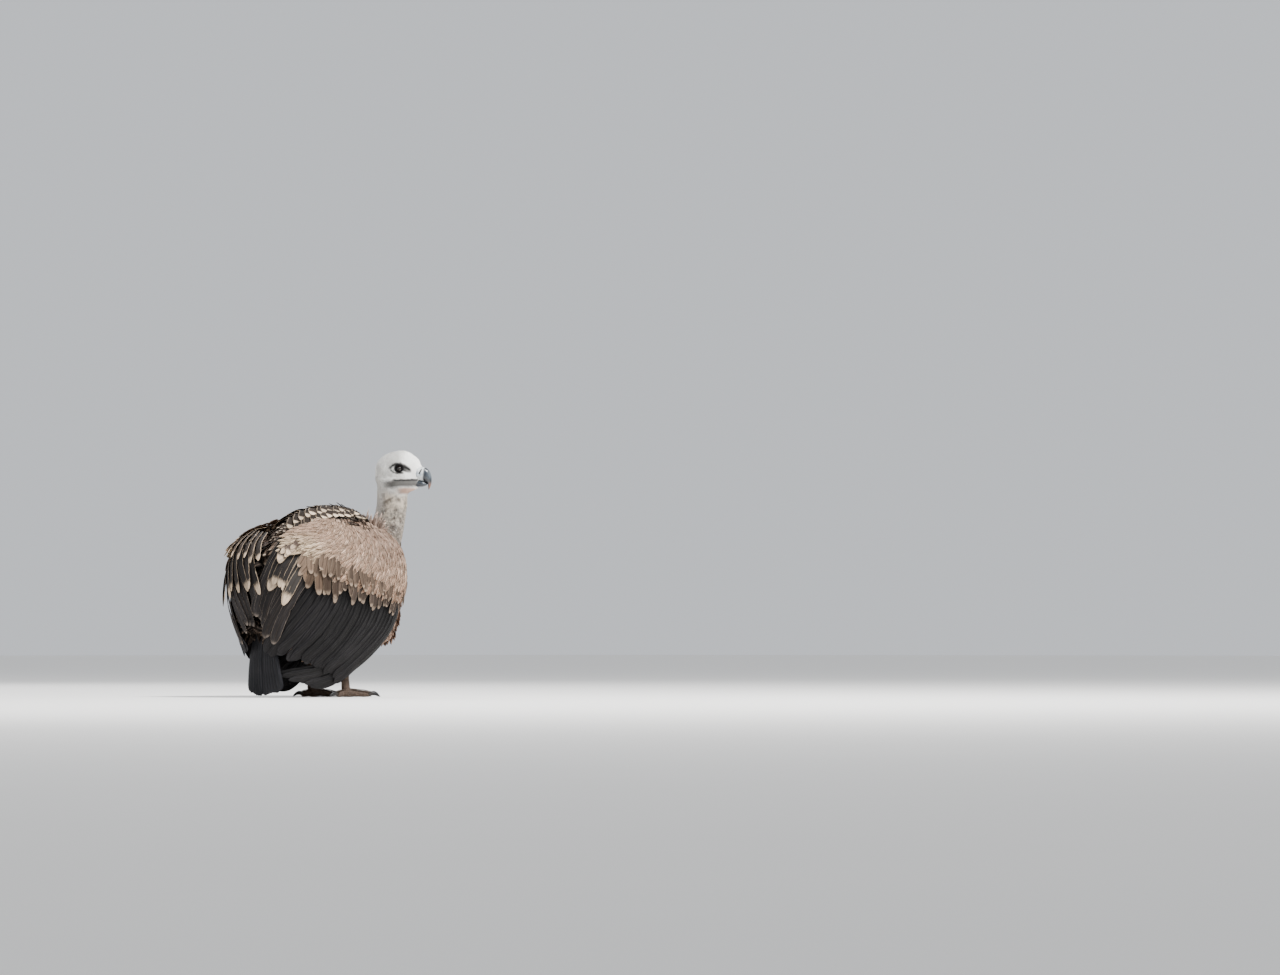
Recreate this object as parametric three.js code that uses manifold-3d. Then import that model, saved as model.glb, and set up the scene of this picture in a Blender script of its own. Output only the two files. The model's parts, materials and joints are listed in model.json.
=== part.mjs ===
// A young griffon vulture standing with loosely folded wings, its head turned over its right shoulder.
// Millimetres, +Z up, +X the way the breast faces, +Y the bird's left. The floor is Z = 0.
// Every piece is a closed solid. Pieces are made from the outside in: each one is cut back from those
// made before it, which are grown by the joint gap for that cut, so neighbours meet without touching.
import * as THREE from "three";
import { mergeVertices } from "three/addons/utils/BufferGeometryUtils.js";
import Module from "manifold-3d";

const wasm = await Module();
wasm.setup();

// ---------------------------------------------------------------- driving sizes
const JOINT_GAP = 0.6; // clear space between two pieces that meet
const CROWN_HEIGHT = 670; // floor to the top of the head
const EYE_HEIGHT = 621;
const HEAD_TURN = THREE.MathUtils.degToRad(-60); // to the bird's right
const HEAD_AT = [240, -76]; // between the eyes, seen from above
const EYE = { radius: 8.6, apart: 56, socket: 11.5 };
const STANCE = { ahead: 45, half: 70 }; // where the feet stand
const TOE_FLAT = 1.2; // how much of the soles the floor cuts away

// The outer surface of the folded wings seen from above, at heights above the floor: a squarish oval.
const DOME_SQUARENESS = 2.9;
const CHEST = 16; // the front half of the oval is this much longer
const DOME = [
  { z: 0, long: 204, wide: 92 },
  { z: 60, long: 214, wide: 110 },
  { z: 120, long: 226, wide: 132 },
  { z: 190, long: 242, wide: 162 },
  { z: 260, long: 250, wide: 181 },
  { z: 340, long: 251, wide: 183 },
  { z: 400, long: 240, wide: 168 },
  { z: 440, long: 212, wide: 139 },
  { z: 470, long: 174, wide: 104 },
  { z: 500, long: 110, wide: 60 },
];

// ---------------------------------------------------------------- small tools
const vec = (x, y, z) => new THREE.Vector3(x, y, z);
const mix = THREE.MathUtils.lerp;
const rad = THREE.MathUtils.degToRad;
const ASIDE = vec(0, 1, 0);
const signedPower = (x, p) => Math.sign(x) * Math.abs(x) ** p;

// A smooth value at height z from a table of rows that each hold a z.
function atHeight(table, z, key) {
  const last = table.length - 1;
  const i = Math.max(0, Math.min(last - 1, table.findIndex((row) => row.z > z) - 1));
  const from = z >= table[last].z ? last - 1 : i;
  const pick = (n) => table[Math.max(0, Math.min(last, n))];
  const t = THREE.MathUtils.clamp((z - pick(from).z) / (pick(from + 1).z - pick(from).z), 0, 1);
  const slope = (n) => (pick(n + 1)[key] - pick(n - 1)[key]) / (pick(n + 1).z - pick(n - 1).z);
  const step = pick(from + 1).z - pick(from).z;
  const a = pick(from)[key];
  const b = pick(from + 1)[key];
  const ta = slope(from) * step;
  const tb = slope(from + 1) * step;
  return (
    (2 * t ** 3 - 3 * t ** 2 + 1) * a +
    (t ** 3 - 2 * t ** 2 + t) * ta +
    (-2 * t ** 3 + 3 * t ** 2) * b +
    (t ** 3 - t ** 2) * tb
  );
}

// A point on the wings' outer surface. The angle runs from 0 at the tail to 180 at the breast, seen from above.
function onDome(side, angle, z, out = 0) {
  const ahead = -Math.cos(rad(angle));
  const aside = Math.sin(rad(angle));
  const long = atHeight(DOME, z, "long") + out + (ahead > 0 ? CHEST : 0);
  const wide = atHeight(DOME, z, "wide") + out;
  const n = DOME_SQUARENESS;
  const far = (Math.abs(ahead / long) ** n + Math.abs(aside / wide) ** n) ** (-1 / n);
  return vec(far * ahead, side * far * aside, z);
}

function domeOutward(side, angle, z) {
  const around = onDome(1, angle - 1, z).sub(onDome(1, angle + 1, z));
  const rising = onDome(1, angle, z + 4).sub(onDome(1, angle, z - 4));
  const out = around.cross(rising).normalize();
  return vec(out.x, side * out.y, out.z);
}

// A closed solid from rings of equally many points, its two ends drawn to a point in their middles.
function throughRings(rings) {
  const count = rings[0].length;
  const spots = rings.flat();
  const middle = (ring) => ring.reduce((sum, p) => sum.add(p), vec(0, 0, 0)).divideScalar(count);
  const first = spots.push(middle(rings[0])) - 1;
  const last = spots.push(middle(rings[rings.length - 1])) - 1;
  const index = [];
  for (let r = 0; r < rings.length - 1; r++)
    for (let k = 0; k < count; k++) {
      const next = (k + 1) % count;
      const [a, b, c, d] = [r * count + k, r * count + next, (r + 1) * count + next, (r + 1) * count + k];
      index.push(a, b, c, a, c, d);
    }
  const top = (rings.length - 1) * count;
  for (let k = 0; k < count; k++) {
    const next = (k + 1) % count;
    index.push(first, next, k, last, top + k, top + next);
  }
  const geometry = new THREE.BufferGeometry().setFromPoints(spots);
  geometry.setIndex(index);
  return geometry;
}

// A closed solid from rings that follow one another round a loop.
function closedRing(rings) {
  const count = rings[0].length;
  const index = [];
  for (let r = 0; r < rings.length; r++)
    for (let k = 0; k < count; k++) {
      const next = (k + 1) % count;
      const on = ((r + 1) % rings.length) * count;
      const [a, b, c, d] = [r * count + k, r * count + next, on + next, on + k];
      index.push(a, b, c, a, c, d);
    }
  const geometry = new THREE.BufferGeometry().setFromPoints(rings.flat());
  geometry.setIndex(index);
  return geometry;
}

// A three.js geometry as a manifold-3d solid, whichever way round its faces came.
function solid(geometry) {
  const bare = new THREE.BufferGeometry().setAttribute("position", geometry.getAttribute("position"));
  bare.setIndex(geometry.index);
  const merged = mergeVertices(bare, 1e-3);
  const build = (triVerts) =>
    new wasm.Manifold(
      new wasm.Mesh({ numProp: 3, vertProperties: merged.attributes.position.array, triVerts }),
    );
  const faces = new Uint32Array(merged.index.array);
  const made = build(faces);
  return made.volume() >= 0 ? made : build(faces.reverse());
}

const together = (solids) => solids.reduce((a, b) => a.add(b));

// A limb swept along a smooth path. Half widths, measured along aside, and half heights are given at its points.
function limb({ path, wide, high, aside = ASIDE, rings = 10, sides = 12, round = 2, grow = 0 }) {
  const line = new THREE.CatmullRomCurve3(path, false, "centripetal");
  const sizes = new THREE.CatmullRomCurve3(wide.map((w, i) => vec(w, high[i], 0)), false, "centripetal");
  const made = [];
  for (let r = 0; r <= rings; r++) {
    const t = r / rings;
    const along = line.getTangent(t).normalize();
    const across = aside.clone().projectOnPlane(along).normalize();
    const over = vec().crossVectors(along, across);
    const push = (r === rings ? grow : 0) - (r === 0 ? grow : 0);
    const centre = line.getPoint(t).addScaledVector(along, push);
    const size = sizes.getPoint(t);
    made.push(
      Array.from({ length: sides }, (_, k) => {
        const turn = (2 * Math.PI * k) / sides;
        return centre
          .clone()
          .addScaledVector(across, (size.x + grow) * signedPower(Math.cos(turn), 2 / round))
          .addScaledVector(over, (size.y + grow) * signedPower(Math.sin(turn), 2 / round));
      }),
    );
  }
  return solid(throughRings(made));
}

// Feathers that overlap like slates, as one closed strip. Each line is one feather's middle, its outward way
// and the layer that it lies in; neighbours share the border half way between their middles.
const FAN_ROWS = [0, 0.34, 0.68, 0.93];
const FAN_FILL = [1, 1, 1, 0.7]; // how much of its room a feather fills at each row
function fan({ lines, half, thick, lift, grow }) {
  const rings = FAN_ROWS.map((t, row) => {
    const middles = lines.map((line) => line.at(t));
    const tops = [];
    const bottoms = [];
    lines.forEach((line, i) => {
      const along = line.at(Math.min(1, t + 0.05)).sub(line.at(Math.max(0, t - 0.05))).normalize();
      const out = line.out(t);
      const across = vec().crossVectors(out, along).normalize();
      const here = middles[i];
      const towards = (other) => (other ? other.clone().sub(here).multiplyScalar(0.5) : null);
      const before = towards(middles[i - 1]);
      const after = towards(middles[i + 1]);
      const way = across.dot(after ?? before.clone().negate()) > 0 ? 1 : -1;
      const edge = (sign) => across.clone().multiplyScalar(sign * way * (half + grow));
      const push = row === 0 ? -grow : 0;
      const left = here.clone().addScaledVector(before ?? edge(-1), FAN_FILL[row]);
      const right = here.clone().addScaledVector(after ?? edge(1), FAN_FILL[row]);
      left.addScaledVector(out, lift).addScaledVector(along, push);
      right.addScaledVector(along, push);
      for (const [spot, neighbour] of [[left, before], [right, after]]) {
        const step = neighbour ? way * grow : 0; // the step down to a neighbour grows sideways
        tops.push(spot.clone().addScaledVector(out, thick / 2 + grow).addScaledVector(across, -step));
        bottoms.push(spot.clone().addScaledVector(out, -thick / 2 - grow).addScaledVector(across, step));
      }
    });
    return [...tops, ...bottoms.reverse()];
  });
  const count = rings[0].length;
  const half0 = count / 2;
  const spots = rings.flat();
  const index = [];
  const quad = (a, b, c, d) => index.push(a, b, c, a, c, d);
  for (let r = 0; r < rings.length - 1; r++)
    for (let k = 0; k < count; k++) {
      const next = (k + 1) % count;
      const [a, b, c, d] = [r * count + k, r * count + next, (r + 1) * count + next, (r + 1) * count + k];
      if (k < half0) quad(a, b, c, d);
      else quad(b, c, d, a); // split along the same line as the quad above it
    }
  const last = (rings.length - 1) * count;
  for (let k = 0; k < half0 - 1; k++) {
    const under = count - 1 - k;
    quad(k + 1, k, under, under - 1);
    if (k % 2) quad(last + k, last + k + 1, last + under - 1, last + under);
    else {
      const line = lines[k / 2];
      const along = line.at(1).sub(line.at(0.94)).normalize();
      const tip = spots.push(line.at(1).addScaledVector(along, grow)) - 1;
      const rim = [k, k + 1, under - 1, under].map((n) => last + n);
      rim.forEach((n, i) => index.push(n, rim[(i + 1) % 4], tip));
    }
  }
  const geometry = new THREE.BufferGeometry().setFromPoints(spots);
  geometry.setIndex(index);
  return solid(geometry);
}

// A fan on the dome: its roots, middles and tips, each [angle, z, out], run evenly from the first line to the last.
function domeFan(side, { count, root, middle, tip, half, thick, lift }, grow) {
  const lines = Array.from({ length: count }, (_, i) => {
    const s = i / (count - 1);
    const [a, b, c] = [root, middle, tip].map(([first, end]) => first.map((value, n) => mix(value, end[n], s)));
    const spot = (t) => a.map((value, n) => (1 - t) ** 2 * value + 2 * t * (1 - t) * b[n] + t ** 2 * c[n]);
    return {
      at: (t) => onDome(side, ...spot(t)),
      out: (t) => domeOutward(side, spot(t)[0], spot(t)[1]),
    };
  });
  return fan({ lines, half, thick, lift, grow });
}

// A curved pad on the dome between two depths, over a range of heights; its ends are {z, from, to} in degrees.
function domePad(side, { edges, outer, inner, steps = 8, levels = 6, round = 0.45 }, grow = 0) {
  const low = edges[0].z;
  const tall = edges[edges.length - 1].z - low;
  const rings = [];
  for (let r = 0; r <= levels; r++) {
    const z = low + (tall * r) / levels;
    const from = atHeight(edges, z, "from");
    const to = atHeight(edges, z, "to");
    const fullness = (u) => Math.max(0.16, 1 - Math.abs(2 * u - 1) ** 4) ** round;
    const tallness = fullness(r / levels);
    const lift = (r === levels ? grow : 0) - (r === 0 ? grow : 0);
    const arc = (depth, sign) =>
      Array.from({ length: steps + 1 }, (_, k) => {
        const u = k / steps;
        const middle = (outer + inner) / 2;
        const away = (depth - middle) * tallness * fullness(u) + sign * grow;
        const angle = mix(from, to, u) + (k === steps ? grow / 2 : 0) - (k === 0 ? grow / 2 : 0);
        return onDome(side, angle, z, middle + away).setZ(z + lift);
      });
    rings.push([...arc(outer, 1), ...arc(inner, -1).reverse()]);
  }
  return solid(throughRings(rings));
}

// ---------------------------------------------------------------- wings
const COVERT_EDGES = [
  { z: 268, from: 84, to: 136 },
  { z: 292, from: 66, to: 138 },
  { z: 330, from: 50, to: 139 },
  { z: 370, from: 40, to: 140 },
  { z: 410, from: 35, to: 141 },
  { z: 450, from: 35, to: 143 },
  { z: 478, from: 52, to: 136 },
];
const ARM_EDGES = [
  { z: 280, from: 80, to: 131 },
  { z: 320, from: 50, to: 134 },
  { z: 370, from: 36, to: 135 },
  { z: 410, from: 33, to: 136 },
  { z: 450, from: 38, to: 137 },
  { z: 466, from: 56, to: 130 },
];
const PAD = { outer: 0, middle: -19, inner: -40 };
const WING = {
  greater: {
    count: 10,
    root: [[134, 284, -9], [44, 378, -9]],
    middle: [[134, 252, -5], [42, 350, -5]],
    tip: [[132, 219, -5], [40, 300, -4]],
    half: 12,
    thick: 3,
    lift: 1.6,
  },
  secondaries: {
    count: 9,
    root: [[134, 280, -15], [50, 348, -15]],
    middle: [[152, 88, -11], [36, 252, -11]],
    tip: [[82, 50, -13], [8, 122, -10]],
    half: 15,
    thick: 3,
    lift: 1.6,
  },
  primaries: {
    count: 3,
    root: [[131, 262, -22], [126, 282, -22]],
    middle: [[148, 50, -19], [124, 96, -19]],
    tip: [[44, 26, -19], [14, 60, -17]],
    half: 13,
    thick: 3,
    lift: 1.6,
  },
  tertials: {
    count: 5,
    root: [[44, 352, -9], [24, 420, -12]],
    middle: [[30, 262, -5], [14, 330, -5]],
    tip: [[9, 146, -4], [4, 226, -3]],
    half: 16,
    thick: 3,
    lift: 1.6,
  },
  scapulars: {
    count: 5,
    root: [[64, 474, -14], [20, 446, -22]],
    middle: [[40, 452, -1], [15, 420, -4]],
    tip: [[31, 398, 6], [11, 366, 8]],
    half: 16,
    thick: 3,
    lift: 1.6,
  },
};

const wingCoverts = (side) => (grow) =>
  domePad(side, { edges: COVERT_EDGES, outer: PAD.outer, inner: PAD.middle }, grow);
const wingArm = (side) => (grow) =>
  domePad(side, { edges: ARM_EDGES, outer: PAD.middle - 1, inner: PAD.inner, steps: 6, levels: 4 }, grow);
const wingFan = (side, name) => (grow) => domeFan(side, WING[name], grow);

// ---------------------------------------------------------------- tail
const TAIL = {
  count: 9,
  halfRoot: 22,
  halfTip: 64,
  root: [-190, 232],
  tip: [-194, 1],
  bulge: -16,
  half: 7,
  thick: 3,
  lift: 1.6,
};
function tail(grow) {
  const lines = Array.from({ length: TAIL.count }, (_, i) => {
    const s = (2 * i) / (TAIL.count - 1) - 1;
    const root = vec(TAIL.root[0] + 3 * s * s, s * TAIL.halfRoot, TAIL.root[1]);
    const tip = vec(TAIL.tip[0] + 7 * s * s, s * TAIL.halfTip, TAIL.tip[1] + 12 * s * s);
    const middle = root.clone().lerp(tip, 0.5).add(vec(TAIL.bulge, 0, 0));
    return {
      at: (t) =>
        root
          .clone()
          .multiplyScalar((1 - t) ** 2)
          .addScaledVector(middle, 2 * t * (1 - t))
          .addScaledVector(tip, t * t),
      out: () => vec(-1, s * 0.2, 0).normalize(),
    };
  });
  return fan({ lines, half: TAIL.half, thick: TAIL.thick, lift: TAIL.lift, grow });
}

// ---------------------------------------------------------------- body
// The trunk fills the dome up to the inside of the wings, and swells out between their front edges as the breast.
const TRUNK = { under: -30, breast: -17, back: -27, middle: 24 };
const TRUNK_LEVELS = [
  { z: 104, fill: 0.3 },
  { z: 124, fill: 0.7 },
  { z: 170, fill: 1 },
  { z: 225, fill: 1 },
  { z: 290, fill: 1 },
  { z: 350, fill: 1 },
  { z: 405, fill: 1 },
  { z: 446, fill: 0.93 },
];
function trunk(grow) {
  const sides = 22;
  const end = TRUNK_LEVELS.length - 1;
  const rings = TRUNK_LEVELS.map(({ z, fill }, i) => {
    const lift = (i === end ? grow : 0) - (i === 0 ? grow : 0);
    return Array.from({ length: sides }, (_, k) => {
      const turn = (360 * k) / sides;
      const angle = Math.min(turn, 360 - turn);
      const front = THREE.MathUtils.smoothstep(angle, 138, 158);
      const rear = 1 - THREE.MathUtils.smoothstep(angle, 16, 34);
      const out = TRUNK.under + front * (TRUNK.breast - TRUNK.under) + rear * (TRUNK.back - TRUNK.under);
      const spot = onDome(turn <= 180 ? 1 : -1, angle, z, out + grow);
      return vec(mix(TRUNK.middle, spot.x, fill), spot.y * fill, z + lift);
    });
  });
  return solid(throughRings(rings));
}

const mantle = (grow) =>
  limb({
    path: [
      vec(186, -10, 436),
      vec(130, -4, 476),
      vec(50, 0, 484),
      vec(-40, 0, 474),
      vec(-112, 0, 436),
      vec(-168, 0, 374),
      vec(-196, 0, 300),
      vec(-204, 0, 222),
    ],
    wide: [26, 46, 52, 52, 50, 46, 42, 34],
    high: [16, 34, 40, 38, 32, 26, 22, 14],
    rings: 9,
    sides: 10,
    round: 2.2,
    grow,
  });

const NECK = {
  path: [
    vec(190, -14, 366),
    vec(206, -22, 414),
    vec(222, -33, 462),
    vec(231, -41, 512),
    vec(229, -46, 560),
    vec(222, -50, 600),
  ],
  wide: [57, 53, 45, 41.5, 41, 38],
  high: [57, 53, 45, 41.5, 41, 38],
};
const neck = (grow) => limb({ ...NECK, rings: 8, sides: 13, grow });

// A collar of pointed feathers: those at the nape stand up and the others lie down over the breast.
const RUFF = { points: 13, radius: 56, deep: 8, long: 84, centre: vec(208, -24, 424), lean: vec(0.46, -0.3, 0.84) };
const NAPE = { up: 0.9, out: 0.36 }; // which way the feathers point at the nape
const THROAT = { up: -0.78, out: 0.62 };
function ruff(grow) {
  const lean = RUFF.lean.clone().normalize();
  const back = vec(-1, 0, 0).projectOnPlane(lean).normalize();
  const aside = vec().crossVectors(lean, back);
  const steps = RUFF.points * 2;
  const deep = RUFF.deep + grow;
  const rings = Array.from({ length: steps }, (_, i) => {
    const turn = (2 * Math.PI * i) / steps;
    const outward = back.clone().multiplyScalar(Math.cos(turn)).addScaledVector(aside, Math.sin(turn));
    const nape = (0.5 + 0.5 * Math.cos(turn)) ** 1.15;
    const [up, out] = [mix(THROAT.up, NAPE.up, nape), mix(THROAT.out, NAPE.out, nape)];
    const rise = lean.clone().multiplyScalar(up).addScaledVector(outward, out).normalize();
    const cross = outward.clone().multiplyScalar(up).addScaledVector(lean, -out).normalize();
    const reach = RUFF.long * (i % 2 ? 0.5 : 1) * mix(0.74, 1, nape);
    const root = RUFF.centre.clone().addScaledVector(outward, RUFF.radius);
    const at = (far, aside) => root.clone().addScaledVector(rise, far).addScaledVector(cross, aside);
    const half = deep * 0.7;
    const foot = -12 - grow;
    return [at(foot, -deep), at(foot, deep), at(reach * 0.5, half), at(reach + grow, grow), at(reach * 0.5, -half)];
  });
  return solid(closedRing(rings));
}

// ---------------------------------------------------------------- head, in its own frame: +X to the bill
const headFrame = new THREE.Matrix4()
  .makeTranslation(HEAD_AT[0], HEAD_AT[1], EYE_HEIGHT)
  .multiply(new THREE.Matrix4().makeRotationZ(HEAD_TURN));
const inHead = (x, y, z) => vec(x, y, z).applyMatrix4(headFrame);

// A solid between an upper and a lower outline in the head's middle plane, each a list of [x, z], and half widths.
function profiled({ over, under, wide, rings = 12, sides = 16, round = 2.1, grow = 0 }) {
  const outline = (points) => new THREE.CatmullRomCurve3(points.map(([x, z]) => vec(x, 0, z)), false, "centripetal");
  const [top, bottom] = [outline(over), outline(under)];
  const widths = new THREE.CatmullRomCurve3(wide.map((w) => vec(w, 0, 0)), false, "centripetal");
  const made = [];
  for (let r = 0; r <= rings; r++) {
    const t = r / rings;
    const [high, low] = [top.getPoint(t), bottom.getPoint(t)];
    const rise = high.clone().sub(low).multiplyScalar(0.5);
    const half = rise.length() + grow;
    const ahead = vec(rise.z, 0, -rise.x).normalize();
    const push = (r === rings ? grow : 0) - (r === 0 ? grow : 0);
    const centre = high.add(low).multiplyScalar(0.5).addScaledVector(ahead, push);
    rise.normalize();
    made.push(
      Array.from({ length: sides }, (_, k) => {
        const turn = (2 * Math.PI * k) / sides;
        return centre
          .clone()
          .addScaledVector(vec(0, 1, 0), (widths.getPoint(t).x + grow) * signedPower(Math.cos(turn), 2 / round))
          .addScaledVector(rise, half * signedPower(Math.sin(turn), 2 / round))
          .applyMatrix4(headFrame);
      }),
    );
  }
  return solid(throughRings(made));
}

const CROWN_OVER_EYE = CROWN_HEIGHT - EYE_HEIGHT;
function skull(grow) {
  const braincase = profiled({
    over: [[-74, 4], [-69, 20], [-48, 39], [-18, 48], [10, CROWN_OVER_EYE], [34, 36], [52, 20], [60, 8]],
    under: [[-74, -16], [-70, -34], [-48, -44], [-18, -46], [10, -40], [34, -33], [52, -31], [60, -31]],
    wide: [9, 23, 34, 37, 34, 25.5, 18.5, 15],
    rings: 11,
    sides: 14,
    grow,
  });
  const jaw = profiled({
    over: [[-34, -8], [0, -4], [30, -8], [50, -18]],
    under: [[-34, -52], [0, -66], [28, -61], [50, -50]],
    wide: [28, 30, 23, 14],
    rings: 4,
    sides: 10,
    grow,
  });
  return braincase.add(jaw);
}
const ball = (centre, radius, pieces = 12) => {
  const geometry = new THREE.SphereGeometry(radius, pieces, pieces / 2);
  geometry.translate(centre.x, centre.y, centre.z);
  return solid(geometry);
};
const eyeAt = (side) => inHead(0, (side * EYE.apart) / 2, 0);
const eye = (side) => (grow) => ball(eyeAt(side), EYE.radius + grow);
const sockets = together([-1, 1].map((side) => ball(inHead(2, side * (EYE.apart / 2 + 10), 0), EYE.socket, 8)));

const cere = (grow) =>
  profiled({
    over: [[48, 4], [57, 4], [64, 3], [69, 0]],
    under: [[46, -32], [55, -32.5], [62, -33.5], [66, -35]],
    wide: [15.5, 14.6, 13.4, 12],
    rings: 4,
    sides: 12,
    round: 2.3,
    grow,
  });
const billUpper = (grow) =>
  profiled({
    over: [[62, 1.5], [70, -1.5], [77, -8], [81.5, -19], [83, -31], [81.5, -44], [76, -57]],
    under: [[58, -33.5], [63, -35], [67.5, -37.5], [71, -40.5], [73, -44], [73.5, -49], [74.5, -57.5]],
    wide: [12.6, 12, 11, 8.8, 6.2, 3.6, 0.9],
    rings: 10,
    sides: 12,
    round: 2.2,
    grow,
  });
const billLower = (grow) =>
  profiled({
    over: [[36, -33.5], [50, -34], [62, -36], [70, -41]],
    under: [[36, -47], [50, -48], [62, -47.5], [70, -44]],
    wide: [13.4, 12.2, 9.6, 4.4],
    rings: 4,
    sides: 10,
    grow,
  });

// ---------------------------------------------------------------- legs
const SHANK_TOP = 128;
const footAt = (side) => vec(STANCE.ahead, side * STANCE.half, 0);
const shank = (side) => (grow) => {
  const foot = footAt(side);
  return limb({
    path: [
      vec(foot.x - 14, foot.y, SHANK_TOP),
      vec(foot.x - 10, foot.y, 90),
      vec(foot.x - 7, foot.y, 50),
      vec(foot.x - 4, foot.y, 22),
      vec(foot.x - 2, foot.y, 15),
    ],
    wide: [14, 10, 9.4, 12, 14],
    high: [15, 11.4, 10.4, 12, 13],
    rings: 6,
    sides: 10,
    grow,
  });
};
const thigh = (side) => (grow) => {
  const foot = footAt(side);
  return limb({
    path: [
      vec(foot.x + 24, foot.y + side * 4, 250),
      vec(foot.x + 14, foot.y + side * 6, 180),
      vec(foot.x - 4, foot.y + side * 2, 122),
      vec(foot.x - 10, foot.y, 88),
      vec(foot.x - 11, foot.y, 76),
    ],
    wide: [58, 50, 33, 20, 12],
    high: [66, 56, 36, 21, 13],
    rings: 5,
    sides: 10,
    grow,
  });
};

// Each toe: degrees outwards from straight ahead, length to the claw, thickness at root and end.
const TOES = {
  inner: { turn: -30, long: 56, root: 10, end: 8 },
  middle: { turn: 2, long: 88, root: 10.5, end: 8 },
  outer: { turn: 34, long: 64, root: 9.5, end: 7.4 },
  hind: { turn: 176, long: 40, root: 10, end: 8.4 },
};
const CLAW = { long: 27, thick: 5 };
function toeWay(side, toe) {
  const turn = rad(TOES[toe].turn) * side;
  return { way: vec(Math.cos(turn), Math.sin(turn), 0), aside: vec(-Math.sin(turn), Math.cos(turn), 0) };
}
function toe(side, name, grow) {
  const { long, root, end } = TOES[name];
  const { way, aside } = toeWay(side, name);
  const at = (far, height) => footAt(side).addScaledVector(way, far).setZ(height);
  const sag = TOE_FLAT;
  return limb({
    path: [
      at(0, root + 4),
      at(long * 0.3, root + 1),
      at(long * 0.62, root - sag),
      at(long * 0.88, end - sag),
      at(long, end - sag),
    ],
    wide: [root, root, root * 0.96, end, end * 0.7],
    high: [root, root, root, end, end * 0.7],
    aside,
    rings: 3,
    sides: 6,
    grow,
  });
}
const foot = (side) => (grow) => {
  const centre = footAt(side);
  const palm = limb({
    path: [[-16, 10], [-6, 12], [8, 11], [20, 9]].map(([x, z]) => centre.clone().add(vec(x, 0, z))),
    wide: [9, 17, 18, 13],
    high: [7, 13, 12.4, 9],
    rings: 3,
    sides: 8,
    grow,
  });
  const whole = together([palm, ...Object.keys(TOES).map((name) => toe(side, name, grow))]);
  const below = new THREE.BoxGeometry(400, 300, 40);
  below.translate(centre.x, centre.y, -20);
  return whole.subtract(solid(below));
};
const claw = (side, name) => (grow) => {
  const { long, end } = TOES[name];
  const { way, aside } = toeWay(side, name);
  const at = (far, height) => footAt(side).addScaledVector(way, long + far).setZ(height);
  return limb({
    path: [at(-5, end), at(5, end + 2.5), at(CLAW.long * 0.55, end + 0.6), at(CLAW.long * 0.85, end - 4), at(CLAW.long, 1.6)],
    wide: [4.4, CLAW.thick, 3.8, 2.2, 0.6],
    high: [5, CLAW.thick + 0.8, 4.4, 2.6, 0.7],
    aside,
    rings: 4,
    sides: 6,
    grow,
  });
};

// ---------------------------------------------------------------- the pieces, from the outside in
const FINISH = {
  down: { color: "#e6e1d6", roughness: 0.95 },
  ruff: { color: "#a98a70", roughness: 0.9 },
  coverts: { color: "#b3927c", roughness: 0.9 },
  flight: { color: "#2b2624", roughness: 0.7 },
  body: { color: "#7b5e4b", roughness: 0.9 },
  mantle: { color: "#4a3a31", roughness: 0.9 },
  horn: { color: "#3c4148", roughness: 0.4 },
  cere: { color: "#8b9097", roughness: 0.5 },
  eye: { color: "#1a1110", roughness: 0.1 },
  scales: { color: "#7d7468", roughness: 0.7 },
  claw: { color: "#1f1d1c", roughness: 0.4 },
};
const sides = { left: 1, right: -1 };
const eachSide = (make) => Object.entries(sides).flatMap(([word, side]) => make(word, side));

const recipes = [
  ...eachSide((word, side) => [[`eye_${word}`, "eye", eye(side)]]),
  ["bill_upper", "horn", billUpper],
  ["bill_lower", "horn", billLower],
  ["cere", "cere", cere],
  ["head", "down", (grow) => skull(grow).subtract(sockets)],
  ["neck", "down", neck],
  ...eachSide((word, side) => [[`wing_${word}_coverts`, "coverts", wingCoverts(side)]]),
  ...eachSide((word, side) => [[`wing_${word}_scapulars`, "mantle", wingFan(side, "scapulars")]]),
  ...eachSide((word, side) => [[`wing_${word}_greater_coverts`, "coverts", wingFan(side, "greater")]]),
  ...eachSide((word, side) => [[`wing_${word}_tertials`, "flight", wingFan(side, "tertials")]]),
  ...eachSide((word, side) => [[`wing_${word}_secondaries`, "flight", wingFan(side, "secondaries")]]),
  ...eachSide((word, side) => [[`wing_${word}_primaries`, "flight", wingFan(side, "primaries")]]),
  ["tail", "flight", tail],
  ["ruff", "ruff", ruff],
  ...eachSide((word, side) =>
    Object.keys(TOES).map((name) => [`claw_${word}_${name}`, "claw", claw(side, name)]),
  ),
  ...eachSide((word, side) => [[`foot_${word}`, "scales", foot(side)]]),
  ...eachSide((word, side) => [[`shank_${word}`, "scales", shank(side)]]),
  ...eachSide((word, side) => [[`wing_${word}_arm`, "coverts", wingArm(side)]]),
  ...eachSide((word, side) => [[`thigh_${word}`, "body", thigh(side)]]),
  ["mantle", "mantle", mantle],
  ["trunk", "body", trunk],
];

const largest = (made) => made.decompose().reduce((a, b) => (a.volume() >= b.volume() ? a : b));
function asGeometry(made) {
  const { vertProperties, triVerts } = made.getMesh();
  const geometry = new THREE.BufferGeometry();
  geometry.setAttribute("position", new THREE.BufferAttribute(vertProperties.slice(), 3));
  geometry.setIndex(new THREE.BufferAttribute(triVerts.slice(), 1));
  return geometry;
}
const touching = (a, b) => {
  const [p, q] = [a.boundingBox(), b.boundingBox()];
  return [0, 1, 2].every((i) => p.min[i] <= q.max[i] && q.min[i] <= p.max[i]);
};

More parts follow.
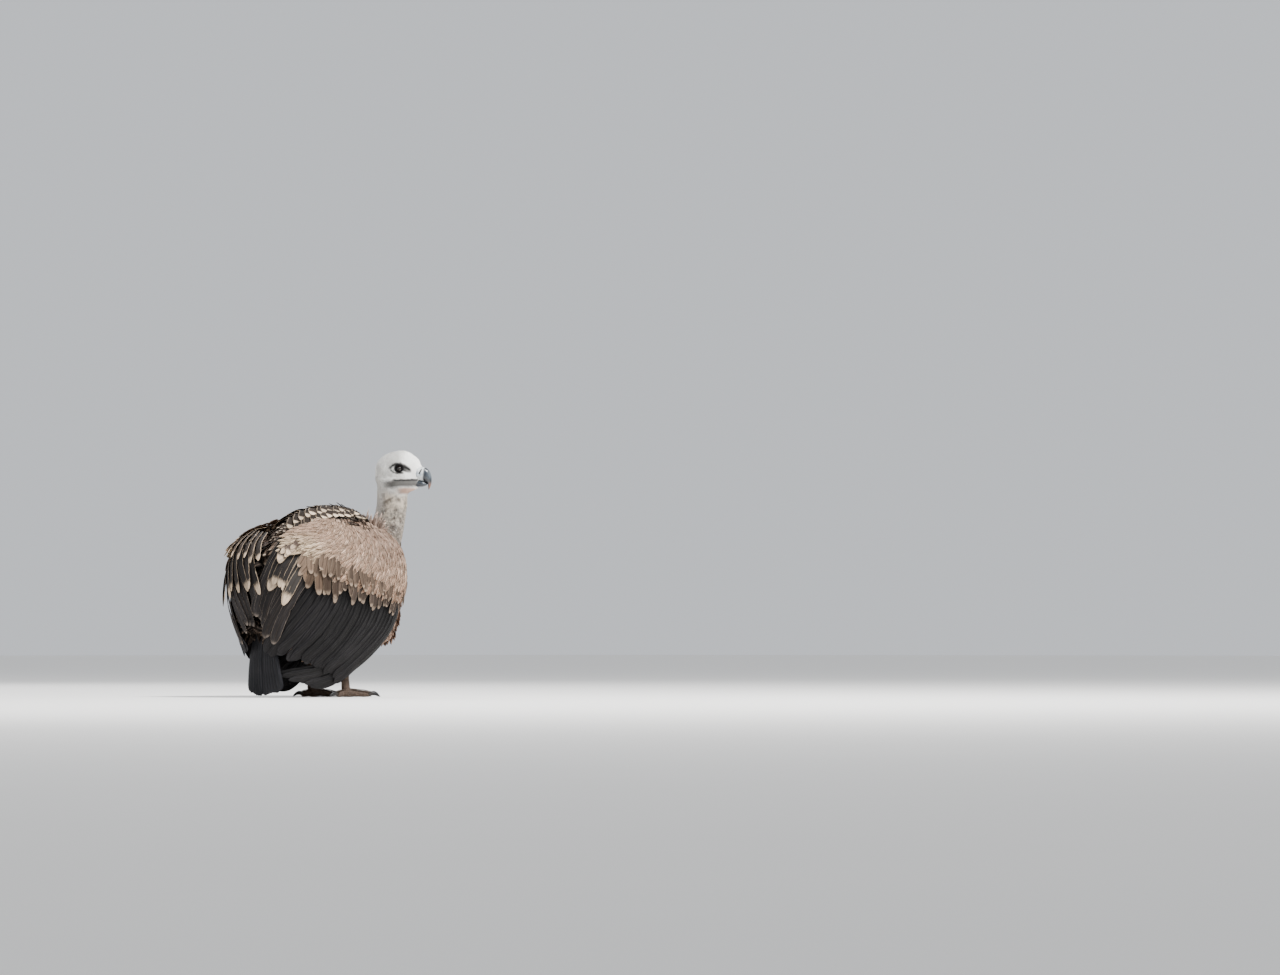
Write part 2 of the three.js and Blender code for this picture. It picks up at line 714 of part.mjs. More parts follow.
const vulture = new THREE.Group();
const placed = [];
for (const [name, finish, recipe] of recipes) {
  let made = recipe(0);
  for (const earlier of placed) if (touching(made, earlier)) made = made.subtract(earlier);
  placed.push(recipe(JOINT_GAP));
  const geometry = asGeometry(largest(solid(asGeometry(largest(made)))));
  geometry.computeVertexNormals();
  const mesh = new THREE.Mesh(geometry, new THREE.MeshStandardMaterial({ ...FINISH[finish], metalness: 0 }));
  mesh.name = name;
  vulture.add(mesh);
}

// The origin is under the middle of the bird, on the floor.
const reach = new THREE.Box3().setFromObject(vulture);
const middle = reach.getCenter(vec());
vulture.position.set(-Math.round(middle.x * 100) / 100, 0, 0);

export default vulture;
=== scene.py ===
import json
import math

import bmesh
import bpy
import numpy as np
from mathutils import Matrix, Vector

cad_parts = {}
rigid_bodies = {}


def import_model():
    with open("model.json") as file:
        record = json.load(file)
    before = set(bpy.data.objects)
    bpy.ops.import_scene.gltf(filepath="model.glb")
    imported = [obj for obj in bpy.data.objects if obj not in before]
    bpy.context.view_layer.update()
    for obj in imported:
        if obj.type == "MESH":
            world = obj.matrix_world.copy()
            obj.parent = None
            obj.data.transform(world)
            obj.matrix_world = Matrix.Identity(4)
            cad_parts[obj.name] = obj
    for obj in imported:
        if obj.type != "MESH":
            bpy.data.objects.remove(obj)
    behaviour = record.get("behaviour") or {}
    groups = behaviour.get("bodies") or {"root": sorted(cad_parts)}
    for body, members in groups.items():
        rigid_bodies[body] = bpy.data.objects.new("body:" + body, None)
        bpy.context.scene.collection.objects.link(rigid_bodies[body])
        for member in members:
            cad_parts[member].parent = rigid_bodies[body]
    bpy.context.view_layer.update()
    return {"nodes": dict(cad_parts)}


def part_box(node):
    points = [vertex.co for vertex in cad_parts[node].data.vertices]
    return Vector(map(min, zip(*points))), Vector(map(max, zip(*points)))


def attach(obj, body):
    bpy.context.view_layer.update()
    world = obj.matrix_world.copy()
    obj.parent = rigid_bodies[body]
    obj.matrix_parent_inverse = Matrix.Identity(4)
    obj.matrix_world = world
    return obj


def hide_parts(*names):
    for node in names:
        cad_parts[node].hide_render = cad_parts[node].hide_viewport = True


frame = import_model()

import openvdb
from mathutils import Vector

# Shapes are worked out in the bird's own millimetres: +X ahead, +Y its left, floor at 0.
# toScene sets them in the shared frame, in metres. The head has axes of its own, +X along the bill.
head = dict(at=np.array([240.0, -76.0, 621.0]), turn=math.radians(-60), apart=56, eye=8.6)
turnHead = np.array([
    [math.cos(head["turn"]), -math.sin(head["turn"]), 0],
    [math.sin(head["turn"]), math.cos(head["turn"]), 0],
    [0, 0, 1],
])


def fromHead(spots):
    return np.asarray(spots, float) @ turnHead.T + head["at"]


def toHead(spots):
    return (np.asarray(spots, float) - head["at"]) @ turnHead


eyeBox = np.array(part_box("eye_right")) * 1000
shift = np.array([eyeBox[:, 0].mean() - fromHead([0, -head["apart"] / 2, 0])[0], 0, 0])


def toScene(spots):
    return (np.asarray(spots, float) + shift) / 1000


bothSides = (("left", 1), ("right", -1))

# ---- small tools


def smooth(low, high, x):
    t = np.clip((x - low) / (high - low), 0, 1)
    return t * t * (3 - 2 * t)


def unit(v):
    return v / np.maximum(np.linalg.norm(v, axis=-1, keepdims=True), 1e-9)


def flatten(v, normal):
    return unit(v - (v * normal).sum(-1, keepdims=True) * normal)


def paint(text):
    values = [int(text[i:i + 2], 16) / 255 for i in (1, 3, 5)]
    return np.array([v / 12.92 if v <= 0.04045 else ((v + 0.055) / 1.055) ** 2.4 for v in values])


def hermite(t, a, b, leaveA, reachB):
    near, far = 2 * t**3 - 3 * t**2 + 1, 3 * t**2 - 2 * t**3
    return near * a + (t**3 - 2 * t**2 + t) * leaveA + far * b + (t**3 - t**2) * reachB


def catmull(points, t):
    points = np.asarray(points, float)
    points = points[:, None] if points.ndim == 1 else points
    last = len(points) - 1
    at = np.clip(np.asarray(t, float), 0, 1) * last
    i = np.minimum(at.astype(int), last - 1)
    padded = np.vstack([2 * points[0] - points[1], points, 2 * points[-1] - points[-2]])
    p0, p1, p2, p3 = (padded[i + k] for k in range(4))
    d0, d1, d2 = (
        np.maximum(np.sqrt(np.linalg.norm(b - a, axis=1)), 1e-4)[:, None]
        for a, b in ((p0, p1), (p1, p2), (p2, p3))
    )
    s1 = ((p1 - p0) / d0 - (p2 - p0) / (d0 + d1) + (p2 - p1) / d1) * d1
    s2 = ((p2 - p1) / d1 - (p3 - p1) / (d1 + d2) + (p3 - p2) / d2) * d1
    return hermite((at - i)[:, None], p1, p2, s1, s2)


def ripple(spots, scale, seed=0):
    rng = np.random.default_rng(seed)
    total = 0
    for octave in range(4):
        ways = rng.normal(0, 1, (3, 5)) / scale * 1.7**octave
        total = total + np.sin(spots @ ways + rng.uniform(0, 6.28, 5)).sum(1) * 0.6**octave
    return total / 5


def power(x, p):
    return np.sign(x) * np.abs(x) ** p


def ringFaces(rings, sides):
    r, k = np.meshgrid(np.arange(rings - 1), np.arange(sides), indexing="ij")
    nxt = (k + 1) % sides
    quads = np.stack([r * sides + k, r * sides + nxt, (r + 1) * sides + nxt, (r + 1) * sides + k], -1)
    ends = [list(range(sides))[::-1], [(rings - 1) * sides + n for n in range(sides)]]
    return quads.reshape(-1, 4).tolist() + ends


def triangles(rings):
    faces = ringFaces(*rings.shape[:2])
    return np.array([[f[0], f[i], f[i + 1]] for f in faces for i in range(1, len(f) - 1)], np.uint32)


def closedMesh(name, spots, faces):
    mesh = bpy.data.meshes.new(name)
    mesh.from_pydata(spots, [], faces)
    work = bmesh.new()
    work.from_mesh(mesh)
    bmesh.ops.recalc_face_normals(work, faces=work.faces)
    work.to_mesh(mesh)
    work.free()
    mesh.polygons.foreach_set("use_smooth", np.full(len(mesh.polygons), True))
    return mesh


def place(name, mesh, finish=None):
    made = bpy.data.objects.new(name, mesh)
    bpy.context.scene.collection.objects.link(made)
    if finish:
        mesh.materials.append(finish)
    return made


def put(mesh, name, kind, domain, values):
    field = {"FLOAT": "value", "INT": "value", "FLOAT_VECTOR": "vector", "FLOAT_COLOR": "color"}[kind]
    values = np.asarray(values, np.int32 if kind == "INT" else np.float32)
    if kind == "FLOAT_COLOR":
        values = np.hstack([values, np.ones((len(values), 1), np.float32)])
    layer = mesh.attributes.new(name, kind, domain)
    layer.data.foreach_set(field, values.ravel())


# ---- shapes shared with the solids

# The wings' outer face by height: height, reach ahead, reach to the side.
dome = np.array([
    [0, 204, 92], [60, 214, 110], [120, 226, 132], [190, 242, 162], [260, 250, 181],
    [340, 251, 183], [400, 240, 168], [440, 212, 139], [470, 174, 104], [500, 110, 60],
], float)


def atHeight(table, z, key):
    zs, v = table[:, 0], table[:, key]
    slopes = np.empty(len(v))
    slopes[1:-1] = (v[2:] - v[:-2]) / (zs[2:] - zs[:-2])
    slopes[0], slopes[-1] = (v[1] - v[0]) / (zs[1] - zs[0]), (v[-1] - v[-2]) / (zs[-1] - zs[-2])
    i = np.clip(np.searchsorted(zs, z, side="right") - 1, 0, len(zs) - 2)
    step = zs[i + 1] - zs[i]
    return hermite(np.clip((z - zs[i]) / step, 0, 1), v[i], v[i + 1], slopes[i] * step, slopes[i + 1] * step)


domeRound, domeAhead = 2.9, 16


def onDome(side, angle, z, out=0.0):
    angle, z, out = np.broadcast_arrays(*(np.asarray(v, float) for v in (angle, z, out)))
    ahead, aside = -np.cos(np.radians(angle)), np.sin(np.radians(angle))
    long = atHeight(dome, z, 1) + out + domeAhead * (ahead > 0)
    wide = atHeight(dome, z, 2) + out
    far = (np.abs(ahead / long) ** domeRound + np.abs(aside / wide) ** domeRound) ** (-1 / domeRound)
    return np.stack([far * ahead, side * far * aside, z], -1)


def domeOutward(side, angle, z):
    around = onDome(1, angle - 1, z) - onDome(1, angle + 1, z)
    rising = onDome(1, angle, z + 4) - onDome(1, angle, z - 4)
    return unit(np.cross(around, rising)) * [1, side, 1]


def limbRings(path, wide, high, aside=(0, 1, 0), rings=30, sides=32, round=2.0):
    t = np.linspace(0, 1, rings)
    centre = catmull(path, t)
    along = unit(catmull(path, t + 1e-4) - catmull(path, t - 1e-4))
    along[0], along[-1] = unit(centre[1] - centre[0]), unit(centre[-1] - centre[-2])
    across = flatten(np.tile(np.asarray(aside, float), (rings, 1)), along)
    over = np.cross(along, across)
    size = catmull(np.stack([wide, high], 1), t)
    turn = np.linspace(0, 2 * np.pi, sides, endpoint=False)
    c, s = power(np.cos(turn), 2 / round), power(np.sin(turn), 2 / round)
    spots = centre[:, None] + across[:, None] * (size[:, :1, None] * c[None, :, None])
    return spots + over[:, None] * (size[:, 1:, None] * s[None, :, None])


def profileRings(over, under, wide, rings=40, sides=40, round=2.1):
    t = np.linspace(0, 1, rings)
    high, low = catmull(over, t), catmull(under, t)
    half = catmull(wide, t)[:, 0]
    middle, rise = (high + low) / 2, (high - low) / 2
    turn = np.linspace(0, 2 * np.pi, sides, endpoint=False)
    c, s = power(np.cos(turn), 2 / round), power(np.sin(turn), 2 / round)
    x = middle[:, :1] + rise[:, :1] * s
    z = middle[:, 1:] + rise[:, 1:] * s
    return np.stack([x, half[:, None] * c[None], z], -1)


# ---- materials


class Field:
    def __init__(self, shader, socket):
        self.shader, self.socket = shader, socket

    def maths(self, operation, *values):
        node = self.shader.node("ShaderNodeMath", dict(operation=operation), dict(enumerate(values)))
        return Field(self.shader, node.outputs[0])

    def __add__(self, other):
        return self.maths("ADD", self, other)

    def __sub__(self, other):
        return self.maths("SUBTRACT", self, other)

    def __rsub__(self, other):
        return self.maths("SUBTRACT", other, self)

    def __mul__(self, other):
        return self.maths("MULTIPLY", self, other)

    __radd__, __rmul__ = __add__, __mul__

    def size(self):
        return self.maths("ABSOLUTE", self)

    def sine(self):
        return self.maths("SINE", self)

    def over(self, other):
        return self.maths("MAXIMUM", self, other)

    def step(self, low, high):
        values = {"Value": self, "From Min": low, "From Max": high}
        node = self.shader.node("ShaderNodeMapRange", dict(interpolation_type="SMOOTHSTEP"), values)
        return Field(self.shader, node.outputs[0])


class Shader:
    def __init__(self, name, **constants):
        self.material = bpy.data.materials.new(name)
        self.material.use_nodes = True
        self.tree = self.material.node_tree
        self.surface = self.tree.nodes["Principled BSDF"]
        for key, value in constants.items():
            self.surface.inputs[key.replace("_", " ")].default_value = value

    def node(self, kind, settings=None, values=None):
        node = self.tree.nodes.new(kind)
        for key, value in (settings or {}).items():
            setattr(node, key, value)
        for key, value in (values or {}).items():
            if isinstance(value, Field):
                self.tree.links.new(value.socket, node.inputs[key])
            elif isinstance(value, np.ndarray):
                node.inputs[key].default_value = (*value, 1)
            else:
                node.inputs[key].default_value = value
        return node

    def read(self, name, output="Fac"):
        return Field(self, self.node("ShaderNodeAttribute", dict(attribute_name=name)).outputs[output])

    def split(self, vector):
        node = self.node("ShaderNodeSeparateXYZ", values={0: vector})
        return [Field(self, socket) for socket in node.outputs]

    def places(self):
        return Field(self, self.node("ShaderNodeTexCoord").outputs["Object"])

    def noise(self, scale, detail=3.0, rough=0.5, at=None, stretch=None):
        at = at or self.places()
        if stretch:
            node = self.node("ShaderNodeMapping", values={"Vector": at, "Scale": stretch})
            at = Field(self, node.outputs[0])
        values = {"Vector": at, "Scale": scale, "Detail": detail, "Roughness": rough}
        return Field(self, self.node("ShaderNodeTexNoise", values=values).outputs["Fac"])

    def mix(self, amount, a, b, kind="MIX"):
        node = self.node("ShaderNodeMix", dict(data_type="RGBA", blend_type=kind), {0: amount, 6: a, 7: b})
        return Field(self, node.outputs[2])

    def shine(self, value, colour):
        return self.mix(1.0, colour, value, "MULTIPLY")

    def layers(self, colour, *coats):
        for amount, tone in coats:
            colour = self.mix(amount, colour, paint(tone))
        return colour

    def finish(self, colour, height=None, distance=0.0005, strength=0.6):
        self.tree.links.new(colour.socket, self.surface.inputs["Base Color"])
        if height is not None:
            values = {"Height": height, "Distance": distance, "Strength": strength}
            bump = self.node("ShaderNodeBump", values=values)
            self.tree.links.new(bump.outputs[0], self.surface.inputs["Normal"])
        return self.material


# A feather's colour with a dark streak, a pale fringe and tip, barbs and a shaft; darker towards its root as
# painted shade where the feathers overlap, and on long ones pale patches of painted sheen.
def plumageFinish(name, streak="#3a2a20", streakWide=0.07, streakBy=0.0, fringe="#d8c6b2", fringeBy=0.0,
                  fringeFrom=0.34, fringeLeast=0.45, tip=0.86, barbs=70, roughness=0.8, quill="#8d7a68",
                  quillBy=0.35, paintedSheen=0.0):
    shader = Shader(name, Roughness=roughness, Specular_IOR_Level=0.14)
    vane, tint = shader.read("vane", "Vector"), shader.read("tint")
    u, v, _ = shader.split(vane)
    away = (u - 0.5).size()
    lines = (v * barbs + away * barbs * 1.4 + shader.noise(9, 1, at=vane) * 5).sine()
    grain = shader.noise(420, 2)
    # darker towards the root: painted shade where the feathers overlap
    rootPaintedShade = v.step(0.0, 0.55) * 0.5 + 0.5
    shade = (tint * 0.5 + 0.75) * rootPaintedShade + lines * 0.05 + grain * 0.2 - 0.1
    colour = shader.shine(shade, shader.read("base", "Color"))
    if streakBy:
        mask = (1 - away.step(streakWide * 0.3, streakWide)) * streakBy * (1 - v.step(0.85, 1.0))
        colour = shader.layers(colour, (mask, streak))
    if fringeBy:
        ragged = shader.noise(26, 2, at=vane) * 0.12
        mask = (away + ragged).step(fringeFrom + 0.05, 0.53).over((v + ragged).step(tip + 0.04, tip + 0.13))
        mask = mask * (tint.step(0.0, 0.8) * (1 - fringeLeast) + fringeLeast) * fringeBy
        colour = shader.layers(colour, (mask, fringe))
    # paler grey patches along the long vanes: painted sheen
    if paintedSheen:
        patchy = shader.noise(5.0, 3, 0.6, at=vane, stretch=(2.2, 0.9, 1)) + tint * 0.12
        colour = shader.layers(colour, (patchy.step(0.5, 0.78) * paintedSheen, "#524f51"))
    shaft = 1 - away.step(0.01, 0.035)
    colour = shader.layers(colour, (shaft * quillBy, quill))
    return shader.finish(colour, height=lines * 0.4 + shaft * 0.8 + grain * 0.5, distance=0.0003)


# ---- the colours of the coat and of the skin under it

# rump is the rump's dark brown, made darker still as painted shade of the deep back between the wings
colours = {k: paint(v) for k, v in dict(
    white="#fffdf8", cream="#f3e8d8", grey="#a8a098", dark="#111012", jaw="#2a2623", pink="#b58468",
    lore="#0e0d0f", nape="#b9a294", breast="#7f6455", belly="#a08877", rump="#2f2621", mantle="#3b2f29",
    buff="#c8aa94", rose="#b39a8b", brown="#8a6650", leg="#4b3d33", speck="#5d5046",
).items()}


def toLine(x, z, points):
    best = np.full(x.shape, 1e9)
    for (x0, z0), (x1, z1) in zip(points[:-1], points[1:]):
        dx, dz = x1 - x0, z1 - z0
        t = np.clip(((x - x0) * dx + (z - z0) * dz) / (dx * dx + dz * dz), 0, 1)
        best = np.minimum(best, np.hypot(x - x0 - t * dx, z - z0 - t * dz))
    return best


# lines of the face from its side, and how wide a mark runs along three of them
face = dict(
    brow=[(-23, 2), (-15, 9), (-6, 12.6), (5, 12), (15, 8), (28, -2)],
    lid=[(-21, -5), (-13, -11), (-3, -13.5), (10, -12)],
    crease=[(-16, 5), (-19, 0), (-18, -6)],
    gape=[(-15, -31), (10, -31.5), (46, -30.8), (60, -34)],
    lore=[(8, 1), (28, -6)],
)
lineWide = dict(brow=3.8, lid=2.0, gape=2.7)


def blendTo(base, amount, colour):
    return base + (colour - base) * np.asarray(amount)[..., None]


def faceColour(spots):
    local = toHead(spots)
    x, y, z = local.T
    rough = ripple(local, 3.2, 1)
    x, z = x + 0.9 * rough, z + 0.9 * ripple(local, 3.6, 2)
    side = smooth(6, 14, np.abs(y))
    base = np.tile(colours["white"], (len(x), 1))
    base = blendTo(base, 0.30 * smooth(0.1, 1.0, ripple(local, 11, 3)) * smooth(20, -20, x), colours["grey"])
    below = z + 31.5 + 0.12 * np.clip(-x, 0, 60)  # height over the mouth line
    jaw = smooth(1.5, -2.0, below) * smooth(-23, -13, below + 1.6 * rough)
    jaw = jaw * smooth(-50, -20, x) * (1 - smooth(44, 54, x))
    base = blendTo(base, 0.9 * jaw, colours["jaw"])
    throat = (1 - smooth(4, 11, np.abs(z + 60))) * smooth(-14, 8, x) * (1 - smooth(34, 46, x))
    base = blendTo(base, 0.75 * throat, colours["pink"])
    # The lore patch in front of the eye is partly dark bristles and partly painted shadow under the brow.
    lore = 1 - smooth(-1.5, 3.0, toLine(x, z, face["lore"]) - (8.8 - 0.16 * np.clip(x, 0, 30)))
    base = blendTo(base, 0.95 * lore * side * (1 - 0.3 * smooth(14, 32, x)), colours["lore"])
    # The brow line is partly dark bristles and partly painted shadow under the brow ridge.
    for key, wide in lineWide.items():
        line = 1 - smooth(wide * 0.4, wide * 1.7, toLine(x, z, face[key]))
        base = blendTo(base, line * side * 0.95, colours["dark"])
    ring = 1 - smooth(2.6, 5.4, np.abs(np.hypot(x, z * 1.08) - 9.4))
    return blendTo(base, ring * side, colours["lore"])


# the middle line of the neck and its half width, from the shoulders up
neckPath = [
    (190, -14, 366), (206, -22, 414), (222, -33, 462), (231, -41, 512), (229, -46, 560), (222, -50, 600),
]
neckWide = [57, 53, 45, 41.5, 41, 38]


def neckAlong(z):
    path = np.array(neckPath, float)
    return np.interp(z, path[:, 2], path[:, 0]), np.interp(z, path[:, 2], path[:, 1])


def fromNeck(spots):
    x, y = neckAlong(spots[:, 2])
    return np.hypot(spots[:, 0] - x, spots[:, 1] - y)


# the way the nape faces; the neck is painted lighter on that side, partly as painted light
napeLitWay = np.array([-0.707, 0.707, 0.0])


def neckColour(spots, normals):
    # The side facing napeLitWay is whiter and less speckled: partly the paler nape, partly painted light.
    nape = normals @ napeLitWay
    base = blendTo(np.tile(colours["cream"], (len(spots), 1)), 0.8 * smooth(0.2, 0.8, nape), colours["white"])
    mottled = smooth(-0.25, 0.55, ripple(spots * [1, 1, 0.6], 3.4, 5)) * (1 - 0.85 * smooth(0.3, 0.85, nape))
    base = blendTo(base, 0.72 * mottled, colours["speck"])
    return blendTo(base, 0.4 * (1 - smooth(440, 500, spots[:, 2])), colours["nape"])


def skinColour(spots, normals):
    x, y, z = spots.T
    local = toHead(spots)
    headness = smooth(-86, -58, local[:, 2] + 0.25 * local[:, 0])
    base = blendTo(neckColour(spots, normals), headness, faceColour(spots))
    near = smooth(400, 450, z) * (1 - smooth(66, 84, fromNeck(spots)))
    near = np.maximum(near, headness)
    body = np.tile(colours["rump"], (len(x), 1))
    body = blendTo(body, smooth(90, 150, x), colours["breast"])
    body = blendTo(body, (1 - smooth(110, 170, z)), colours["belly"])
    body = blendTo(body, smooth(400, 440, z) * (1 - smooth(140, 190, x)), colours["mantle"])
    wing = smooth(70, 100, np.abs(y)) * smooth(250, 290, z)
    body = blendTo(body, wing * 0.8, colours["brown"])
    return blendTo(body, near, base)


# ---- the skin

def sdUnion(a, b, k):
    h = np.clip(0.5 + 0.5 * (b - a) / k, 0, 1)
    return b + (a - b) * h - k * h * (1 - h)


class Grid:
    def __init__(self, low, high, voxel):
        self.voxel = voxel
        self.low = np.floor(np.array(low) / voxel).astype(int)
        self.count = np.ceil(np.array(high) / voxel).astype(int) - self.low
        axes = [(np.arange(n, dtype=np.float32) + l) * voxel for n, l in zip(self.count, self.low)]
        self.x, self.y, self.z = np.meshgrid(*axes, indexing="ij", sparse=True)

    def distance(self, spots, tris, reach=30):
        grid = openvdb.FloatGrid.createLevelSetFromPolygons(
            np.ascontiguousarray(spots, np.float32), triangles=np.ascontiguousarray(tris, np.uint32),
            transform=openvdb.createLinearTransform(self.voxel), halfWidth=reach / self.voxel,
        )
        cells = np.zeros(tuple(self.count), np.float32)
        grid.copyToArray(cells, ijk=tuple(int(n) for n in self.low))
        return cells

    def surface(self, cells):
        cells = np.pad(np.ascontiguousarray(cells, np.float32), 1, constant_values=self.voxel * 3)
        grid = openvdb.FloatGrid(self.voxel * 3)
        grid.copyFromArray(cells, ijk=tuple(int(n) - 1 for n in self.low), tolerance=0.0)
        grid.transform = openvdb.createLinearTransform(self.voxel)
        spots, quads = grid.convertToQuads(isovalue=0.0)
        return spots.astype(float), quads.astype(int)


def ringShell(rings):
    return rings.reshape(-1, 3), triangles(rings)


def soften(cells, times=1):
    for _ in range(times):
        for axis in range(3):
            cells = (np.roll(cells, 1, axis) + 2 * cells + np.roll(cells, -1, axis)) / 4
    return cells


def nodeShape(name):
    made = frame["nodes"][name]
    mesh = made.data
    co = np.empty(len(mesh.vertices) * 3)
    mesh.vertices.foreach_get("co", co)
    mesh.calc_loop_triangles()
    tri = np.empty(len(mesh.loop_triangles) * 3, int)
    mesh.loop_triangles.foreach_get("vertices", tri)
    return co.reshape(-1, 3) * 1000 - shift, tri.reshape(-1, 3)


skull = dict(
    grid=dict(low=(-92, -62, -140), high=(66, 62, 56), voxel=1.4),
    braincase=dict(
        over=[[-74, 4], [-69, 20], [-48, 39], [-18, 48], [10, 49], [34, 36], [52, 20], [60, 8]],
        under=[[-74, -16], [-70, -34], [-48, -44], [-18, -46], [10, -40], [34, -33], [52, -31], [60, -31]],
        wide=[9, 23, 34, 37, 34, 25.5, 18.5, 15],
    ),
    jaw=dict(
        over=[[-34, -8], [0, -4], [30, -8], [50, -18]],
        under=[[-34, -52], [0, -66], [28, -61], [50, -50]],
        wide=[28, 30, 23, 14],
    ),
    swell=[(-2, 15, 9, 2.6), (14, 12, 8, 2.2), (-28, -22, 15, 2.4), (24, -7, 8, -2.0), (-27, 2, 10, -1.8),
           (16, -24, 9, 1.4), (-8, -48, 13, 1.6)],  # x, z, width, height
    fold=[("lid", 1.5, -0.9), ("crease", 1.4, -0.8), ("gape", 1.3, -2.0), ("brow", 2.6, 1.5)],
)
socket = dict(hollow=9.2, soft=1.6, lidRing=7.9, lidOut=4.6, lidThick=1.9, lidSoft=2.2, ball=9.0)


def headSkin():
    grid = Grid(**skull["grid"])
    x, y, z = grid.x, np.abs(grid.y), grid.z
    bones = (profileRings(**skull[key]) for key in ("braincase", "jaw"))
    braincase, jaw = (grid.distance(*ringShell(rings), 16) for rings in bones)
    rings = limbRings(neckPath, neckWide, neckWide)
    neck = grid.distance(toHead(rings.reshape(-1, 3)), triangles(rings), 16)
    cells = sdUnion(braincase, jaw, 9)
    cells = sdUnion(cells, neck + 3.5 * smooth(-98, -128, z), 16)
    bump = 0
    for ahead, up, wide, by in skull["swell"]:
        bump = bump + by * np.exp(-(((x - ahead) / wide) ** 2 + ((z - up) / wide) ** 2))
    for key, wide, by in skull["fold"]:
        bump = bump + by * np.exp(-((toLine(x + 0 * z, z + 0 * x, face[key]) / wide) ** 2))
    cells = cells - bump * smooth(10, 20, y)
    cells = cells + 1.0 + 1.4 * (1 - smooth(-30, 20, x)) + 4.5 * smooth(44, 50, x)  # the down's depth
    # a hollow for the eye and a rolled lid round it
    axis = unit(np.array([0.10, 0.99, 0.06]))
    aside = y - head["apart"] / 2
    far = np.sqrt(x**2 + aside**2 + z**2)
    cells = -sdUnion(-cells, far - socket["hollow"], socket["soft"])
    along = x * axis[0] + aside * axis[1] + z * axis[2]
    beside = np.sqrt(np.maximum(far**2 - along**2, 0)) / np.where(z > 0, 1.0, 0.93)
    lid = np.hypot(beside - socket["lidRing"], along - socket["lidOut"]) - socket["lidThick"]
    cells = np.maximum(sdUnion(cells, lid, socket["lidSoft"]), socket["ball"] - far)
    cells = np.maximum(cells, -(z + 130) + 0 * x + 0 * y)
    spots, quads = grid.surface(soften(cells))
    return fromHead(spots), quads


saddle = dict(
    path=[(150, -4, 438), (90, 0, 452), (20, 0, 452), (-50, 0, 440), (-110, 0, 408), (-160, 0, 346),
          (-182, 0, 280)],
    wide=[70, 98, 104, 102, 92, 80, 66], high=[22, 30, 32, 30, 26, 22, 18], round=2.6,
)


# how deep the feathers lie over each solid
feathersDeep = dict(trunk=6, mantle=9, neck=3, wing_left_arm=0, wing_right_arm=0, wing_left_coverts=7,
                    wing_right_coverts=7, thigh_left=7, thigh_right=7)
bodyGrid = dict(low=(-262, -190, 60), high=(300, 190, 610), voxel=5.4)
legGrid = dict(low=(-20, -140, -4), high=(170, 140, 140), voxel=1.8)


def bodySkin():
    grid = Grid(**bodyGrid)
    cells = None
    for name, depth in feathersDeep.items():
        if name == "neck":
            part = grid.distance(*ringShell(limbRings(neckPath, neckWide, neckWide))) + depth
            part = part + 5 * smooth(head["at"][2] - 104, head["at"][2] - 70, grid.z)
        else:
            part = grid.distance(*nodeShape(name)) + depth
        cells = part if cells is None else sdUnion(cells, part, 14)
    bridge = grid.distance(*ringShell(limbRings(**saddle)))
    return grid.surface(soften(sdUnion(cells, bridge, 16), 2))


def legSkin():
    grid = Grid(**legGrid)
    cells = None
    for name in ("foot_left", "shank_left", "foot_right", "shank_right"):
        part = grid.distance(*nodeShape(name), 8) + 0.35
        cells = part if cells is None else sdUnion(cells, part, 3)
    return grid.surface(np.maximum(soften(cells), 0.2 - grid.z + 0 * cells))  # flat on the floor


def normalsOf(mesh):
    values = np.empty(len(mesh.vertices) * 3, np.float32)
    mesh.vertex_normals.foreach_get("vector", values)
    return values.reshape(-1, 3).astype(float)


def shellMesh(name, spots, quads):
    mesh = bpy.data.meshes.new(name)
    mesh.from_pydata(toScene(spots).tolist(), [], quads.tolist())
    mesh.validate()
    mesh.polygons.foreach_set("use_smooth", np.full(len(mesh.polygons), True))
    co = spots[quads[:, [0, 1, 2, 0, 2, 3]]].reshape(-1, 3, 3)
    if (co[:, 0] * np.cross(co[:, 1], co[:, 2])).sum() < 0:
        mesh.flip_normals()
    mesh.update()
    return mesh


shells = dict(head=headSkin(), body=bodySkin(), legs=legSkin())
shellMeshes = {key: shellMesh("shell_" + key, *value) for key, value in shells.items()}
shellNormals = {key: normalsOf(mesh) for key, mesh in shellMeshes.items()}
print("skin faces", {key: len(value[1]) for key, value in shells.items()})


def skinFinish():
    shader = Shader("skin", Roughness=0.8, Specular_IOR_Level=0.15)
    fine, broad = shader.noise(700, 4, 0.6), shader.noise(90, 3)
    colour = shader.shine(fine * 0.35 + broad * 0.3 + 0.68, shader.read("base", "Color"))
    return shader.finish(colour, height=fine + broad * 0.5, distance=0.0012, strength=0.8)


def makeSkin():
    spots = np.vstack([shell[0] for shell in shells.values()])
    base = skinColour(spots, np.vstack(list(shellNormals.values())))
    base[-len(shells["legs"][0]):] = colours["leg"]
    work = bmesh.new()
    for mesh in shellMeshes.values():
        work.from_mesh(mesh)
    mesh = bpy.data.meshes.new("skin")
    work.to_mesh(mesh)
    work.free()
    put(mesh, "base", "FLOAT_COLOR", "POINT", base)
    skin = place("skin", mesh, skinFinish())
    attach(skin, "root")
    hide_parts("head", "neck", "trunk", "mantle", "wing_left_arm", "wing_right_arm", "thigh_left",
                "thigh_right", "shank_left", "shank_right", "foot_left", "foot_right")


makeSkin()

# ---- feathers and scales that repeat

stance = dict(ahead=45, half=70)
# each toe: turn outward, length, half width at its root and at its end
toes = dict(inner=(-30, 56, 10, 8), middle=(2, 88, 10.5, 8), outer=(34, 64, 9.5, 7.4),
            hind=(176, 40, 10, 8.4))


